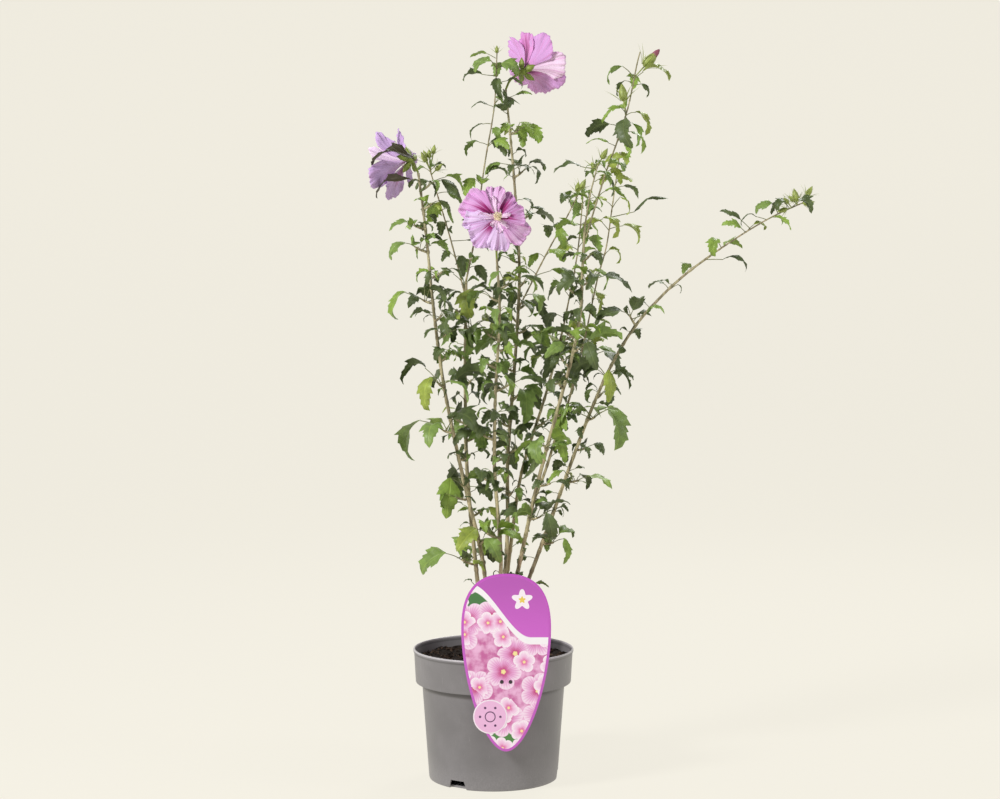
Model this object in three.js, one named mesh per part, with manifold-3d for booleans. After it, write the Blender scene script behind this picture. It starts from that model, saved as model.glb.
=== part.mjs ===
// A rose of sharon in its nursery pot: slender canes rise from one root crown, each carrying leaf
// tufts, leafy shoots, buds and three open blooms. Millimetres, +Z up, origin under the pot's middle.
import * as THREE from "three";
import { mergeVertices } from "three/addons/utils/BufferGeometryUtils.js";
import Module from "manifold-3d";

const wasm = await Module();
wasm.setup();
const { Manifold, Mesh: SolidMesh } = wasm;

const GAP = 0.3;
const TINY = 1e-9;
const UP = new THREE.Vector3(0, 0, 1);

const COLOURS = {
  pot: 0x777473, soil: 0x35281f, label: 0xc95cc0, crown: 0x6d5a44, bark: 0x9a8466,
  youngLeaf: 0x55743f, leaf: 0x3f6237, petal: 0xd39ad8,
};

// Pot
const POT_HEIGHT = 185;
const RIM_RADIUS = 115;
const COLLAR_HEIGHT = 48;
const COLLAR_FOOT_RADIUS = 111.5;
const SHOULDER_RADIUS = 102.4;
const FOOT_RADIUS = 92;
const WALL = 2;
const FLOOR = 3;
const POT_SIDES = 40;
const NOTCH_HEIGHT = 10;
const NOTCH_WIDTH = 27;
const NOTCH_TOP_WIDTH = 18;
const NOTCH_HEADINGS = [-123, -3, 117];

// Potting soil
const SOIL_LEVEL = 167;
const SOIL_EDGE_DROP = 3;
const SOIL_SIDES = 20;

// Label: an egg-shaped card in front of the pot with a tongue over the rim
const LABEL_HEIGHT = 245;
const LABEL_HALF_WIDTH = 62;
const LABEL_SHOULDER = 75;
const LABEL_THICKNESS = 2;
const LABEL_TOP = 307;
const LABEL_X = 18;
const LABEL_BACK_Y = -115.5;
const LABEL_DISC_RADIUS = 23.5;
const LABEL_DISC_X = -22;
const LABEL_DISC_Z = 110;
const LABEL_DISC_SIDES = 24;
const LABEL_CURVE_STEPS = 8;
const TONGUE_WIDTH = 30;
const TONGUE_Y = -109.8;

// Root crown, with one short stub under each cane
const CROWN_RADIUS = 26;
const CROWN_TOP = 183;
const CROWN_SIDES = 10;
const CANE_FOOT = 191;
const STUB_LENGTH = 14;
const STUB_SIDES = 6;

// Canes: way points, and the radius at the foot and at the tip
const CANE_SIDES = 7;
const CANE_STEPS = 10;
const BARK_FLATS = 0.95;
const TWIG_SIDES = 3;
const CANES = {
  a: {
    path: [[-12, 6, CANE_FOOT], [-26, 4, 307], [-38, 18, 438], [-41, 30, 568], [-40, 38, 712]],
    r: [3.5, 2.2],
  },
  b: {
    path: [[-9, -6, CANE_FOOT], [-13, -8, 297], [-43, -24, 431], [-69, -42, 557], [-84, -56, 670],
      [-94, -66, 775], [-105, -74, 862]],
    r: [3.4, 1.7],
  },
  c: {
    path: [[1, -10, CANE_FOOT], [11, -14, 310], [2, -28, 436], [3, -42, 550], [9, -54, 659],
      [5, -62, 742]],
    r: [3.2, 1.8],
  },
  d: {
    path: [[-3, 13, CANE_FOOT], [19, 10, 302], [20, 30, 437], [29, 48, 567], [38, 62, 699], [34, 72, 810],
      [26, 80, 914], [18, 86, 996]],
    r: [3.4, 1.6],
  },
  e: {
    path: [[12, -5, CANE_FOOT], [36, -10, 300], [64, -24, 427], [95, -40, 543], [121, -52, 649],
      [126, -60, 740], [129, -64, 790]],
    r: [3.4, 1.7],
  },
  f: {
    path: [[16, 5, CANE_FOOT], [57, 0, 299], [96, -6, 407], [140, -14, 527], [190, -20, 629], [252, -24, 702],
      [310, -24, 748]],
    r: [3.3, 1.7],
  },
  h: {
    path: [[8, 15, CANE_FOOT], [26, 20, 337], [42, 42, 436], [78, 66, 549], [103, 82, 643]],
    r: [3.2, 1.7],
  },
};
const BOUGH = {
  name: "e2", on: "e", at: 400, heading: 70,
  path: [[75, -4, 440], [90, 8, 486], [107, 18, 532], [133, 30, 629]], r: [2.3, 1.6],
};

// Leafy shoots: each goes on from a cane's tip, or from its side at a height and heading. A node
// of the stem comes every step, with a whorl of leaves
const SHOOTS = [
  {
    name: "shoot_a_right", on: "a", path: [[-27, 50, 778], [-14, 62, 878], [1, 72, 970], [5, 80, 1050]],
    r: 1.7, step: 52, whorl: 3, leaf: 42, buds: 0, seed: 11,
  },
  {
    name: "shoot_a_left", on: "a", at: 696, heading: 200,
    path: [[-61, 24, 768], [-76, 8, 820], [-92, -2, 874]],
    r: 1.5, step: 36, whorl: 2, leaf: 38, buds: 2, seed: 23,
  },
  {
    name: "shoot_g", on: "d", at: 676, heading: -10, path: [[80, 40, 757], [104, 26, 800], [122, 14, 836]],
    r: 1.5, step: 36, whorl: 2, leaf: 42, buds: 1, seed: 31,
  },
  {
    name: "shoot_h", on: "h", path: [[124, 94, 750], [133, 98, 838]],
    r: 1.6, step: 36, whorl: 2, leaf: 42, buds: 0, seed: 47,
  },
  {
    name: "shoot_e_left", on: "e", path: [[137, -67, 836], [147, -68, 874]],
    r: 1.5, step: 28, whorl: 2, leaf: 32, buds: 2, seed: 53,
  },
  {
    name: "shoot_e_top", on: "e", at: 772, heading: 10,
    path: [[158, -60, 862], [174, -58, 906], [190, -56, 956], [202, -55, 1014], [207, -54, 1034]],
    r: 1.6, step: 44, whorl: 3, leaf: 46, buds: 3, seed: 61,
  },
  {
    name: "shoot_i", on: "e2", path: [[151, 40, 712], [165, 50, 762], [174, 57, 820], [186, 66, 902]],
    r: 1.4, step: 36, whorl: 2, leaf: 46, buds: 0, seed: 71,
  },
  {
    name: "shoot_f", on: "f", path: [[355, -22, 778], [400, -18, 804], [444, -14, 824]],
    r: 1.5, step: 40, whorl: 2, leaf: 38, buds: 3, seed: 83,
  },
];

// Leaf tufts on short spurs: cane, height, heading, leaves, and the length and hang of the first leaf
const TUFTS = [
  ["a", 304, 195, 6, 54, 40], ["a", 412, -130, 6, 62, 60], ["a", 480, 20, 6, 50, 15],
  ["a", 642, -20, 7, 50, 15], ["a", 684, -80, 6, 50, 60],
  ["b", 335, -70, 6, 46, 20], ["b", 496, 180, 6, 70, 60], ["b", 562, 245, 6, 60, 80],
  ["b", 630, 0, 7, 50, 45], ["b", 680, 180, 6, 52, 50], ["b", 752, 175, 6, 40, 10],
  ["b", 784, 200, 6, 32, 30], ["b", 838, 20, 6, 40, 20],
  ["c", 345, -80, 6, 50, 35], ["c", 425, 195, 7, 50, 20], ["c", 486, 190, 7, 52, 20],
  ["c", 556, 15, 6, 50, 20], ["c", 628, 160, 7, 60, 40], ["c", 700, -30, 7, 46, 25],
  ["d", 462, -30, 7, 66, 65], ["d", 538, -60, 7, 66, 45], ["d", 618, -40, 7, 66, 55],
  ["d", 672, 0, 6, 54, 25], ["d", 800, 0, 5, 42, 30], ["d", 866, -30, 5, 36, 35],
  ["d", 930, 20, 6, 40, 40],
  ["e", 372, -40, 6, 50, 60], ["e", 472, -100, 6, 52, 25], ["e", 612, -60, 7, 60, 45],
  ["e", 706, 0, 7, 50, 25], ["e2", 596, -30, 7, 54, 60],
  ["f", 335, -10, 6, 42, 65], ["f", 424, -10, 6, 48, 25], ["f", 514, -55, 7, 66, 50],
  ["f", 572, -85, 6, 54, 75], ["f", 648, -150, 6, 50, 30], ["h", 600, -90, 7, 60, 35],
];
const FIRST_TUFT_SEED = 101;

// Blooms: each on a stalk from its cane's tip; the way it faces, its radius and how far it is open
const BLOOMS = [
  {
    name: "bloom_left", on: "b", path: [[-111, -74, 874]], centre: [-118, -72, 880],
    face: [-0.7, 0.68, -0.12], radius: 66, open: 56, seed: 201,
  },
  {
    name: "bloom_middle", on: "c", path: [[4, -72, 770], [5, -86, 790]], centre: [6, -100, 797],
    face: [0.02, -0.98, 0.12], radius: 51, open: 84, seed: 202,
  },
  {
    name: "bloom_top", on: "d", path: [[26, 88, 1012]], centre: [45, 92, 1024],
    face: [0.49, 0.78, 0.38], radius: 64, open: 54, seed: 203,
  },
];

// One fixed sequence of numbers between 0 and 1 for each seed
function sequence(seed) {
  let state = seed >>> 0;
  const next = () => {
    state = (Math.imul(state, 1664525) + 1013904223) >>> 0;
    return state / 4294967296;
  };
  next();
  next();
  return next;
}

const rad = (degrees) => (degrees * Math.PI) / 180;
const vec = (values) => new THREE.Vector3(...values);

// The direction at a heading around +Z and a rise above the level, in degrees
function toward(heading, rise) {
  const level = Math.cos(rad(rise));
  const [x, y] = [Math.cos(rad(heading)), Math.sin(rad(heading))];
  return new THREE.Vector3(x * level, y * level, Math.sin(rad(rise)));
}

// A closed solid from a three.js geometry
function solid(geometry) {
  const plain = geometry.index ? geometry.toNonIndexed() : geometry;
  plain.deleteAttribute("normal");
  plain.deleteAttribute("uv");
  const merged = mergeVertices(plain, 1e-4);
  const index = merged.index.array;
  const faces = [];
  for (let i = 0; i < index.length; i += 3) {
    const [a, b, c] = [index[i], index[i + 1], index[i + 2]];
    if (a !== b && b !== c && c !== a) {
      faces.push(a, b, c);
    }
  }
  const made = (triVerts) => new Manifold(new SolidMesh({
    numProp: 3,
    vertProperties: new Float32Array(merged.attributes.position.array),
    triVerts,
  }));
  const body = made(new Uint32Array(faces));
  return body.volume() > 0 ? body : made(new Uint32Array(faces).reverse());
}

const SLIVER = 0.15;

// Several solids joined into the one closed body that holds them together
function fuse(solids) {
  const bodies = Manifold.union(solids).simplify(SLIVER).decompose();
  return bodies.reduce((most, body) => (body.volume() > most.volume() ? body : most));
}

// A named mesh with a material of its own
function piece(name, body, colour, roughness) {
  const mesh = body.getMesh();
  const geometry = new THREE.BufferGeometry();
  geometry.setAttribute("position", new THREE.BufferAttribute(new Float32Array(mesh.vertProperties), 3));
  geometry.setIndex(new THREE.BufferAttribute(new Uint32Array(mesh.triVerts), 1));
  geometry.computeVertexNormals();
  const material = new THREE.MeshStandardMaterial({ color: colour, roughness, metalness: 0 });
  const made = new THREE.Mesh(geometry, material);
  made.name = name;
  return made;
}

// Points along a smooth path through way points, with tangents and radii
function course(points, steps, startRadius, endRadius) {
  const curve = new THREE.CatmullRomCurve3(points, false, "catmullrom", 0.5);
  const line = [];
  for (let i = 0; i <= steps; i += 1) {
    line.push(curve.getPoint(i / steps));
  }
  return line.map((point, i) => ({
    point,
    tangent: line[Math.min(i + 1, steps)].clone().sub(line[Math.max(i - 1, 0)]).normalize(),
    radius: startRadius + ((endRadius - startRadius) * i) / steps,
  }));
}

// The point, tangent and radius of a limb at a height
function atHeight(limb, z) {
  let i = 0;
  while (i < limb.length - 2 && limb[i + 1].point.z < z) {
    i += 1;
  }
  const [low, high] = [limb[i], limb[i + 1]];
  const part = (z - low.point.z) / (high.point.z - low.point.z);
  return {
    point: low.point.clone().lerp(high.point, part),
    tangent: high.point.clone().sub(low.point).normalize(),
    radius: low.radius + (high.radius - low.radius) * part,
  };
}

// A round limb along a course
function tube(line, sides) {
  const steps = line.length - 1;
  const geometry = new THREE.CylinderGeometry(1, 1, 1, sides, steps);
  const frames = [];
  let across = new THREE.Vector3(1, 0, 0);
  if (Math.abs(line[0].tangent.x) > 0.8) {
    across = new THREE.Vector3(0, 1, 0);
  }
  for (const { tangent } of line) {
    across = across.clone().addScaledVector(tangent, -across.dot(tangent)).normalize();
    frames.push([across, across.clone().cross(tangent)]);
  }
  const position = geometry.attributes.position;
  for (let i = 0; i < position.count; i += 1) {
    const k = Math.round((position.getY(i) + 0.5) * steps);
    const at = line[k].point.clone();
    at.addScaledVector(frames[k][0], position.getX(i) * line[k].radius);
    at.addScaledVector(frames[k][1], position.getZ(i) * line[k].radius);
    position.setXYZ(i, at.x, at.y, at.z);
  }
  return solid(geometry);
}

// Where a stem begins beside a limb, just clear of its bark, and the way it leaves
function sideStart(limb, height, heading) {
  const { point, tangent, radius } = atHeight(limb, height);
  const out = toward(heading, 0);
  out.addScaledVector(tangent, -out.dot(tangent)).normalize();
  return { start: point.clone().addScaledVector(out, radius * BARK_FLATS + GAP), out };
}

// ---- Leaves ----------------------------------------------------------------------------------

const LEAF_CENTRE = 0.45;
const LEAF_HALF_THICKNESS = 0.45;
const PETIOLE_RADIUS = 0.65;
const LEAF_OUTLINE = [[0.38, 0.42], [0.6, 0.2], [1, 0]];
const SMALL_LEAF = 36;
const SMALL_OUTLINE = [[0.45, 0.38], [1, 0]];

// A point of a blade: s along the midrib, w to the side
function bladePoint(leaf, s, w, lift = 0) {
  const turn = leaf.curl * s;
  const along = (leaf.length * Math.sin(turn)) / leaf.curl;
  const down = (leaf.length * (1 - Math.cos(turn))) / leaf.curl;
  const normal = leaf.normal.clone().multiplyScalar(Math.cos(turn));
  normal.addScaledVector(leaf.way, Math.sin(turn));
  const reach = w * leaf.length * leaf.width;
  return leaf.base.clone()
    .addScaledVector(leaf.way, along)
    .addScaledVector(leaf.normal, -down)
    .addScaledVector(leaf.side, reach * Math.cos(leaf.fold))
    .addScaledVector(normal, Math.abs(reach) * Math.sin(leaf.fold) + lift);
}

// The outline of a blade from its right root round the tip to its left root
function bladeRing(leaf) {
  const outline = leaf.length < SMALL_LEAF ? SMALL_OUTLINE : LEAF_OUTLINE;
  const right = outline.map(([s, w]) => bladePoint(leaf, s, w));
  const left = outline.slice(0, -1).reverse().map(([s, w]) => bladePoint(leaf, s, -w));
  return [...right, ...left];
}

// A leaf that leaves the root at a heading and rise, its blade hanging by the given angle
function newLeaf(next, root, heading, rise, length, hang) {
  const petiole = length * (0.28 + 0.3 * next());
  const stalk = toward(heading, rise);
  const base = root.clone().addScaledVector(stalk, petiole);
  const way = toward(heading + 50 * (next() - 0.5), -hang + 40 * (next() - 0.5));
  const roll = rad(90 * (next() - 0.5));
  const level = UP.clone().addScaledVector(way, -UP.dot(way)).normalize();
  const beside = way.clone().cross(level);
  const normal = level.multiplyScalar(Math.cos(roll)).addScaledVector(beside, Math.sin(roll));
  return {
    root, base, way, normal, stalk,
    side: way.clone().cross(normal),
    length,
    width: 0.62 + 0.45 * next(),
    curl: rad(15 + 60 * next()),
    fold: rad(8 + 34 * next()),
  };
}

// A three-sided petiole and its blade as one closed solid
function leafSolid(leaf) {
  const across = leaf.stalk.clone().cross(UP).normalize();
  if (across.dot(leaf.side) < 0) {
    across.negate();
  }
  const under = across.clone().cross(leaf.stalk);
  if (under.dot(leaf.normal) > 0) {
    under.negate();
  }
  const corner = (centre, a, b) => centre.clone()
    .addScaledVector(across, a * PETIOLE_RADIUS)
    .addScaledVector(under, b * PETIOLE_RADIUS);
  const points = [
    corner(leaf.root, 0.87, -0.5), corner(leaf.root, -0.87, -0.5), corner(leaf.root, 0, 1),
    corner(leaf.base, 0.87, -0.5), corner(leaf.base, -0.87, -0.5), corner(leaf.base, 0, 1),
    bladePoint(leaf, LEAF_CENTRE, 0, LEAF_HALF_THICKNESS),
    bladePoint(leaf, LEAF_CENTRE, 0, -LEAF_HALF_THICKNESS),
    ...bladeRing(leaf),
  ];
  const ring = [3, ...points.keys()].filter((k, i) => i === 0 || k > 7).concat(4);
  const faces = [[0, 1, 2], [0, 4, 1], [0, 3, 4], [0, 2, 5], [0, 5, 3], [1, 4, 5], [1, 5, 2]];
  for (let i = 0; i < ring.length - 1; i += 1) {
    faces.push([6, ring[i], ring[i + 1]]);
    faces.push([7, ring[i + 1], ring[i]]);
  }
  faces.push([6, 4, 3], [7, 5, 4], [7, 3, 5]);
  const geometry = new THREE.BufferGeometry().setFromPoints(points);
  geometry.setIndex(faces.flat());
  return solid(geometry);
}

// ---- Room between pieces ---------------------------------------------------------------------

// What a leaf, stem or limb takes up: round rods, and flat triangles
function leafRoom(leaf) {
  const centre = bladePoint(leaf, LEAF_CENTRE, 0);
  const ring = [leaf.base, ...bladeRing(leaf)];
  const rods = [];
  const flats = [];
  ring.forEach((point, i) => {
    const after = ring[(i + 1) % ring.length];
    rods.push([point, after, 0.3], [point, centre, 0.5]);
    flats.push([centre, point, after]);
  });
  return { ...room([...rods, [leaf.root, leaf.base, PETIOLE_RADIUS]], flats), blade: room(rods, flats) };
}

function courseRoom(line) {
  return room(line.slice(1).map((to, i) => [line[i].point, to.point, line[i].radius]), []);
}

function room(rods, flats) {
  const box = new THREE.Box3();
  for (const [from, to, radius] of rods) {
    box.expandByPoint(from.clone().addScalar(radius)).expandByPoint(from.clone().addScalar(-radius));
    box.expandByPoint(to.clone().addScalar(radius)).expandByPoint(to.clone().addScalar(-radius));
  }
  return { rods, flats, box };
}

// The least distance between two segments
function rodDistance(a0, a1, b0, b1) {
  const [u, v, w] = [a1.clone().sub(a0), b1.clone().sub(b0), a0.clone().sub(b0)];
  const [uu, uv, vv, uw, vw] = [u.dot(u), u.dot(v), v.dot(v), u.dot(w), v.dot(w)];
  const clamp = (x) => Math.min(1, Math.max(0, x));
  const s = clamp((uv * vw - vv * uw) / Math.max(uu * vv - uv * uv, TINY));
  const t = clamp((uv * s + vw) / Math.max(vv, TINY));
  const again = clamp((uv * t - uw) / Math.max(uu, TINY));
  return w.addScaledVector(u, again).addScaledVector(v, -t).length();
}

// Whether a segment passes through a triangle
function pierces(from, to, [a, b, c]) {
  const along = to.clone().sub(from);
  const [ab, ac, toFrom] = [b.clone().sub(a), c.clone().sub(a), from.clone().sub(a)];
  const p = along.clone().cross(ac);
  const det = ab.dot(p);
  if (Math.abs(det) < TINY) {
    return false;
  }
  const u = toFrom.dot(p) / det;
  const q = toFrom.cross(ab);
  const v = along.dot(q) / det;
  const t = ac.dot(q) / det;
  return u >= 0 && v >= 0 && u + v <= 1 && t >= 0 && t <= 1;
}

function clash(one, other, margin) {
  if (!one.box.clone().expandByScalar(margin).intersectsBox(other.box)) {
    return false;
  }
  for (const [a0, a1, ra] of one.rods) {
    for (const [b0, b1, rb] of other.rods) {
      if (rodDistance(a0, a1, b0, b1) < ra + rb + margin) {
        return true;
      }
    }
    if (other.flats.some((flat) => pierces(a0, a1, flat))) {
      return true;
    }
  }
  return other.rods.some(([b0, b1]) => one.flats.some((flat) => pierces(b0, b1, flat)));
}

// ---- Masses ----------------------------------------------------------------------------------

const LEAF_MARGIN = 1.2;
const OWN_MARGIN = 0.3;
const LEAF_TRIES = 12;
const SPUR_TRIES = 13;
const SPUR_SWING = 25;
const LOWEST_LEAF = 196;
const LABEL_KEEP_OFF_Y = -106;
const LABEL_KEEP_OFF_Z = 318;

const fixedRooms = [];

const caneName = (key) => (key === BOUGH.name ? `bough_${key}` : `cane_${key}`);

// A leaf is inside its mass's space when it is clear of the pot, the label and all fixed rooms
function fits(space, own, parent) {
  const behindLabel = space.box.min.y > LABEL_KEEP_OFF_Y || space.box.min.z > LABEL_KEEP_OFF_Z;
  if (space.box.min.z < LOWEST_LEAF || !behindLabel) {
    return false;
  }
  return !fixedRooms.some((other) => {
    if (other.own === parent) {
      return false;
    }
    if (other.own !== own) {
      return clash(space, other, LEAF_MARGIN);
    }
    return Boolean(space.blade && other.blade) && clash(space.blade, other.blade, OWN_MARGIN);
  });
}

// Adds a leaf to a mass, turning it until it is clear of everything else, or leaves it out
function addLeaf(mass, next, root, heading, rise, length, hang) {
  for (let attempt = 0; attempt < LEAF_TRIES; attempt += 1) {
    const swing = 22 * attempt * (next() - 0.5);
    const size = length * (1 - 0.03 * attempt);
    const leaf = newLeaf(next, root, heading + swing, rise + swing / 3, size, hang);
    const space = leafRoom(leaf);
    if (fits(space, mass.name)) {
      space.own = mass.name;
      fixedRooms.push(space);
      mass.solids.push(leafSolid(leaf));
      return;
    }
  }
}

// A bud: a pointed egg on its own short stalk
const BUD_PROFILE = [[0, 0], [0.75, 0.12], [1, 0.45], [0.62, 0.8], [0, 1]];

function budSolid(start, way, length, radius) {
  const profile = BUD_PROFILE.map(([r, h]) => new THREE.Vector2(r * radius, h * length));
  const geometry = new THREE.LatheGeometry(profile, 6);
  geometry.applyQuaternion(new THREE.Quaternion().setFromUnitVectors(new THREE.Vector3(0, 1, 0), way));
  geometry.translate(start.x, start.y, start.z);
  return solid(geometry);
}

const BUD_STALK = 12;

function addBud(mass, root, heading, rise, length) {
  const way = toward(heading, rise);
  const end = root.clone().addScaledVector(way, BUD_STALK);
  const stalk = course([root, end], 1, 1, 1);
  const tip = end.clone().addScaledVector(way, length);
  const space = room([[root, tip, length * 0.34]], []);
  if (fits(space, mass.name)) {
    space.own = mass.name;
    fixedRooms.push(space);
    const foot = end.clone().addScaledVector(way, -1.5);
    mass.solids.push(tube(stalk, TWIG_SIDES), budSolid(foot, way, length, length * 0.32));
  }
}

// A spur beside a cane, turned a little at a time until it is clear of the other canes
function newSpur(name, on, height, heading, reach) {
  for (let attempt = 0; ; attempt += 1) {
    const facing = heading + SPUR_SWING * Math.ceil(attempt / 2) * (attempt % 2 === 0 ? 1 : -1);
    const { start, out } = sideStart(limbs[on], height, facing);
    const end = start.clone().addScaledVector(out.clone().addScaledVector(UP, 0.5).normalize(), reach);
    const line = course([start, end], 1, 1.7, 1.3);
    line[0].tangent = out;
    if (attempt === SPUR_TRIES - 1 || fits(courseRoom(line), name, caneName(on))) {
      return { start, end, line, facing };
    }
  }
}

// A tuft: a short spur with leaves fanned round it, the first one its largest
function tuft([on, height, heading, count, length, hang], order) {
  const next = sequence(FIRST_TUFT_SEED + order);
  const mass = { name: `tuft_${on}_${height}`, solids: [] };
  const { start, end, line, facing } = newSpur(mass.name, on, height, heading, 13 + 6 * next());
  mass.solids.push(tube(line, TWIG_SIDES));
  fixedRooms.push({ ...courseRoom(line), own: mass.name });
  for (let i = 0; i < count; i += 1) {
    const fan = i === 0 ? 0 : (i % 2 === 0 ? -1 : 1) * (38 + 26 * i + 20 * (next() - 0.5));
    const root = start.clone().lerp(end, 0.95 - 0.13 * i);
    const rise = i === 0 ? 25 : 12 + 45 * next();
    const size = i === 0 ? length : length * (0.62 + 0.4 * next());
    addLeaf(mass, next, root, facing + fan, rise, size, i === 0 ? hang : 55 * next() - 5);
  }
  return mass;
}

// A shoot: a stem that goes on from its cane, with leaves round it at even steps and buds at its tip
function shootLine(shoot) {
  const limb = limbs[shoot.on];
  const tip = limb[limb.length - 1];
  const points = shoot.path.map(vec);
  let out = tip.tangent;
  if (shoot.at) {
    const side = sideStart(limb, shoot.at, shoot.heading);
    out = side.out;
    points.unshift(side.start);
  } else {
    points.unshift(tip.point.clone().addScaledVector(tip.tangent, GAP));
  }
  const line = course(points, 3 * (points.length - 1), shoot.r, 1.1);
  line[0].tangent = out;
  return line;
}

function shootMass(shoot, line) {
  const next = sequence(shoot.seed);
  const mass = { name: shoot.name, solids: [tube(line, TWIG_SIDES)] };
  let travelled = 0;
  let due = shoot.step * 0.45;
  let turn = 360 * next();
  for (let i = 1; i < line.length; i += 1) {
    const [from, to] = [line[i - 1].point, line[i].point];
    const length = from.distanceTo(to);
    while (due < travelled + length) {
      const root = from.clone().lerp(to, (due - travelled) / length);
      for (let k = 0; k < shoot.whorl; k += 1) {
        const size = shoot.leaf * (0.65 + 0.45 * next());
        const foot = root.clone().addScaledVector(to.clone().sub(from).normalize(), -2.4 * k);
        addLeaf(mass, next, foot, turn + (k * 360) / shoot.whorl, 15 + 40 * next(), size, 65 * next() - 5);
      }
      turn += 137.5 + 40 * (next() - 0.5);
      due += shoot.step * (0.8 + 0.4 * next());
    }
    travelled += length;
  }
  const end = line[line.length - 1];
  const heading = (Math.atan2(end.tangent.y, end.tangent.x) * 180) / Math.PI;
  for (let k = 0; k < shoot.buds; k += 1) {
    const root = end.point.clone().addScaledVector(end.tangent, -1 - 9 * k);
    addBud(mass, root, heading + 110 * k, k === 0 ? 60 : 35, 17 - 2 * k);
  }
  for (let k = 0; k < 3; k += 1) {
    const root = end.point.clone().addScaledVector(end.tangent, -1.5 - 2.5 * k);
    addLeaf(mass, next, root, heading + 60 + 120 * k, 30 + 30 * next(), shoot.leaf * 0.62, 50 * next());
  }
  return mass;
}

// ---- Blooms ----------------------------------------------------------------------------------

const PETALS = 5;
const COROLLA_TURNS = 20;
const COROLLA_RINGS = [0.45, 1];
const HEART_TURNS = 10;
const HEART_RINGS = [0.5, 1];
const PETAL_HALF_THICKNESS = 0.45;

// A flower's own directions: the way it faces, its right and its upper side
function newFlower(bloom) {
  const axis = vec(bloom.face).normalize();
  const right = axis.clone().cross(UP).normalize();
  return { axis, right, above: right.clone().cross(axis), centre: vec(bloom.centre) };
}

// The direction across a flower at a turn round the way it faces
function around(flower, turn) {
  const across = flower.right.clone().multiplyScalar(Math.cos(turn));
  return across.addScaledVector(flower.above, Math.sin(turn));
}

// A ring of joined petals as one thin closed shell: a trumpet with a lobed, ruffled edge
function corollaSolid(flower, radius, open, turns, rings, ruffle, phase) {
  const point = (part, turn, lift) => {
    const lobe = Math.abs(Math.cos((PETALS / 2) * turn + phase));
    const reach = radius * part * (1 - 0.16 * part * (1 - lobe));
    const angle = rad(20 + (open - 20) * Math.min(1, 0.35 + 0.75 * part));
    const waves = Math.sin(turn * PETALS * 2 + 3 * phase + Math.sin(3 * turn));
    const wave = radius * ruffle * part * part * waves;
    const radial = around(flower, turn);
    const forward = reach * Math.cos(angle) + wave * Math.sin(angle) + lift;
    return flower.centre.clone()
      .addScaledVector(flower.axis, forward)
      .addScaledVector(radial, reach * Math.sin(angle) - wave * Math.cos(angle));
  };
  const sheet = (lift) => {
    const made = [point(0, 0, lift)];
    for (const part of rings) {
      for (let k = 0; k < turns; k += 1) {
        made.push(point(part, (2 * Math.PI * k) / turns, part === 1 ? 0 : lift));
      }
    }
    return made;
  };
  const over = sheet(PETAL_HALF_THICKNESS);
  const points = [...over, ...sheet(-PETAL_HALF_THICKNESS)];
  const faces = [];
  const both = (a, b, c) => faces.push(a, b, c, a + over.length, c + over.length, b + over.length);
  for (let k = 0; k < turns; k += 1) {
    const after = (k + 1) % turns;
    both(0, 1 + k, 1 + after);
    for (let i = 1; i < rings.length; i += 1) {
      const [low, high] = [1 + (i - 1) * turns, 1 + i * turns];
      both(low + k, high + k, high + after);
      both(low + k, high + after, low + after);
    }
  }
  const geometry = new THREE.BufferGeometry().setFromPoints(points);
  geometry.setIndex(faces);
  return solid(geometry);
}

function bloomLine(bloom) {
  const limb = limbs[bloom.on];
  const tip = limb[limb.length - 1];
  const start = tip.point.clone().addScaledVector(tip.tangent, GAP);
  const points = [start, ...bloom.path.map(vec), vec(bloom.centre)];
  const line = course(points, 3 * (points.length - 1), 1.6, 2);
  line[0].tangent = tip.tangent;
  return line;
}

function bloomMass(bloom, line) {
  const next = sequence(bloom.seed);
  const flower = newFlower(bloom);
  const cup = budSolid(flower.centre.clone().addScaledVector(flower.axis, -8), flower.axis, 16, 6.5);
  const columnTip = flower.centre.clone().addScaledVector(flower.axis, bloom.radius * 0.5);
  const column = course([flower.centre, columnTip], 1, 2.4, 2);
  const phase = 6 * next();
  const solids = [
    tube(line, TWIG_SIDES), cup, tube(column, 5),
    corollaSolid(flower, bloom.radius, bloom.open, COROLLA_TURNS, COROLLA_RINGS, 0.06, phase),
    corollaSolid(flower, bloom.radius * 0.46, bloom.open * 0.6, HEART_TURNS, HEART_RINGS, 0.1, phase + 1),
  ];
  return { name: bloom.name, solids };
}

// The room a bloom needs: rods from its heart along its petals
function bloomRoom(bloom) {
  const flower = newFlower(bloom);
  const angle = rad(bloom.open * 0.92);
  const rods = [];
  for (let k = 0; k < 10; k += 1) {
    const way = flower.axis.clone().multiplyScalar(Math.cos(angle));
    way.addScaledVector(around(flower, rad(36 * k)), Math.sin(angle));
    rods.push([flower.centre, flower.centre.clone().addScaledVector(way, bloom.radius * 0.92), 9]);
  }
  return { ...room(rods, []), own: bloom.name };
}

// ---- Pot, soil and label ---------------------------------------------------------------------

function turned(profile, sides) {
  const geometry = new THREE.LatheGeometry(profile.map(([r, z]) => new THREE.Vector2(r, z)), sides);
  geometry.rotateX(Math.PI / 2);
  return solid(geometry);
}

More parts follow.
